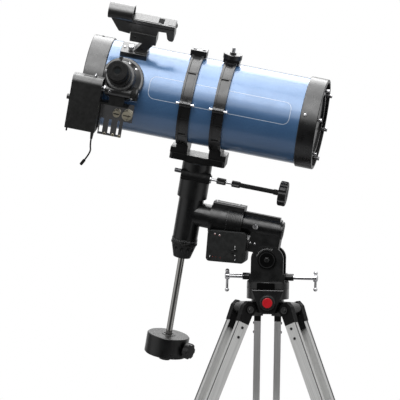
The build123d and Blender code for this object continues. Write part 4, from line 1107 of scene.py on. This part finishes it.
def finder_details():
    """Screws of the finder's bracket, covers, seams and hood rims, and the grip of its dial."""
    kit = Kit("finder_trim", "declination", "black_plastic")
    kit.screw(at(FINDER, (-17, 0, FINDER_BASE)), 2.8, 1.8, STEEL)
    kit.screw(at(FINDER, (24, 0, FINDER_BASE)), 2.4, 1.6, STEEL)
    thumb = at(FINDER, (-4.5, -4, FINDER_BASE))
    kit.turned(thumb, [(2.4, -0.2), (2.4, 3), (0.1, 3)], CHROME, 24)
    kit.knurled(thumb, 5.2, 2.4, 8.6, 20, CHROME, 0.5)
    kit.screw(at(FINDER, (16, -9, 100), FORWARD), 2.6, 1.8, MOULDED)
    kit.screw(at(FINDER, (2, -12, 126), FORWARD), 2.4, 1.4, MOULDED)
    kit.beam(at(FINDER, (22, 0, FINDER_TOP)), (52, 18, 0.7), FINDER_BLACK, 0.5)
    kit.beam(at(FINDER, (46, 0, FINDER_TOP + 0.5)), (10, 13, 0.7), TUBE_INSIDE, 0.3)
    kit.beam(at(FINDER, (66, 0, FINDER_TOP)), (14, 16, 0.6), FINDER_BLACK, 0.4)
    for side, last in ((-1, 73), (1, 54)):
        seam = at(FINDER, ((last - 17) / 2, side * FINDER_HALF, 157), (0, side, 0))
        kit.beam(seam, (last + 17, 1.2, 0.3), TUBE_INSIDE)
    for x, low, high in ((-52.6, 13.4, 15.0), (-8, 14.8, 16)):
        rim = [(low, 0), (high, 0), (high, 2), (low, 2)]
        kit.sleeve(at(FINDER, (x, 0, HOOD_UP), ALONG), rim, FINDER_BLACK)
    kit.finish()
    kit = Kit("finder_dial_grip", "finder_dial", "black_plastic")
    kit.knurled(at(FINDER, (66, 11.6, 151), BACKWARD), 8.6, 0, 3.6, 28, MOULDED, 0.6)
    kit.finish()


# Tripod
BAR_SCREWS = (-36, -55)
BAR_RIVETS = (-322, -338)
GROOVE_SHADE_IN = 3.2
GROOVE_SHADE_WIDE = 3.4


def tripod_details():
    """Screws, rivets and dark strips of painted groove shade on the legs' bars, and bolt heads at
    the hub's hinges.
    """
    rivet = [(2.2, 0), (1.8, 0.7), (0.1, 1)]
    low, high = COLLAR_TOP - BAR_END, -BAR_TOP
    for side, place in LEGS.items():
        kit = Kit(f"leg_fasteners_{side}", f"leg_{side}", "black_plastic")
        for way in (-1, 1):
            for z in BAR_SCREWS:
                kit.screw(at(place, (0, way * BAR_OUTSIDE, z), (0, way, 0)), 2.6, 1.8, MOULDED)
            for z in BAR_RIVETS:
                kit.turned(at(place, (BAR_DEEP / 2, way * BAR_MIDDLE, z), ALONG), rivet, STEEL, 20)
            # A dark strip along each bar's front: painted shade of a groove.
            middle = (BAR_DEEP / 2, way * (BAR_OUTSIDE - GROOVE_SHADE_IN), (low + high) / 2)
            kit.beam(at(place, middle, ALONG), (high - low - 1, GROOVE_SHADE_WIDE, 0.12), GROOVE_SHADE)
        kit.finish()
    kit = Kit("hub_bolts", "tripod", "black_casting")
    bolt = [(4.6, -0.2), (4.6, 1.6), (3.8, 2.2), (0.1, 2.2)]
    for turn in HINGE_TURNS:
        for way in (-1, 1):
            end = at(turned_z(TRIPOD, turn), (HINGE_RADIUS, way * 29.3, 0), (0, way, 0))
            kit.turned(end, bolt, CASTING, 6)
    kit.finish()


def weight_details():
    """A raised rim round the bar on top of the counterweight."""
    kit = Kit("weight_trim", "counterweight", "black_iron")
    rim = [(9, -0.3), (9.4, 0.9), (12.4, 0.9), (13, -0.3)]
    kit.sleeve(at(RA, (0, 0, WEIGHT_TOP)), rim, CASTING)
    kit.finish()


tube_details()
ring_details()
knob_details()
circle_details()
mount_details()
case_details()
focuser_details()
motor_details()
finder_details()
tripod_details()
weight_details()

# Floor, in metres
FLOOR_RADIUS = 0.8
FLOOR_COLOUR = (0.82, 0.82, 0.82)
FLOOR_PATCHES = (0.79, 0.79, 0.79)
FLOOR_REFLECTED = (0.36, 0.36, 0.37)


def make_floor():
    """A plain pale round floor, a little darker in reflections."""
    mesh = bmesh.new()
    bmesh.ops.create_circle(mesh, cap_ends=True, segments=96, radius=FLOOR_RADIUS)
    data = bpy.data.meshes.new("floor")
    mesh.to_mesh(data)
    mesh.free()
    floor = bpy.data.objects.new("floor", data)
    shader = Shader("pale_floor", FLOOR_COLOUR, 0.85)
    shader.tint(shader.noise(3, 2), FLOOR_PATCHES)
    paths = shader.tree.nodes.new("ShaderNodeLightPath")
    shader.tint(paths.outputs["Is Glossy Ray"], FLOOR_REFLECTED, 0, 1)
    data.materials.append(shader.material)
    bpy.context.scene.collection.objects.link(floor)


make_floor()
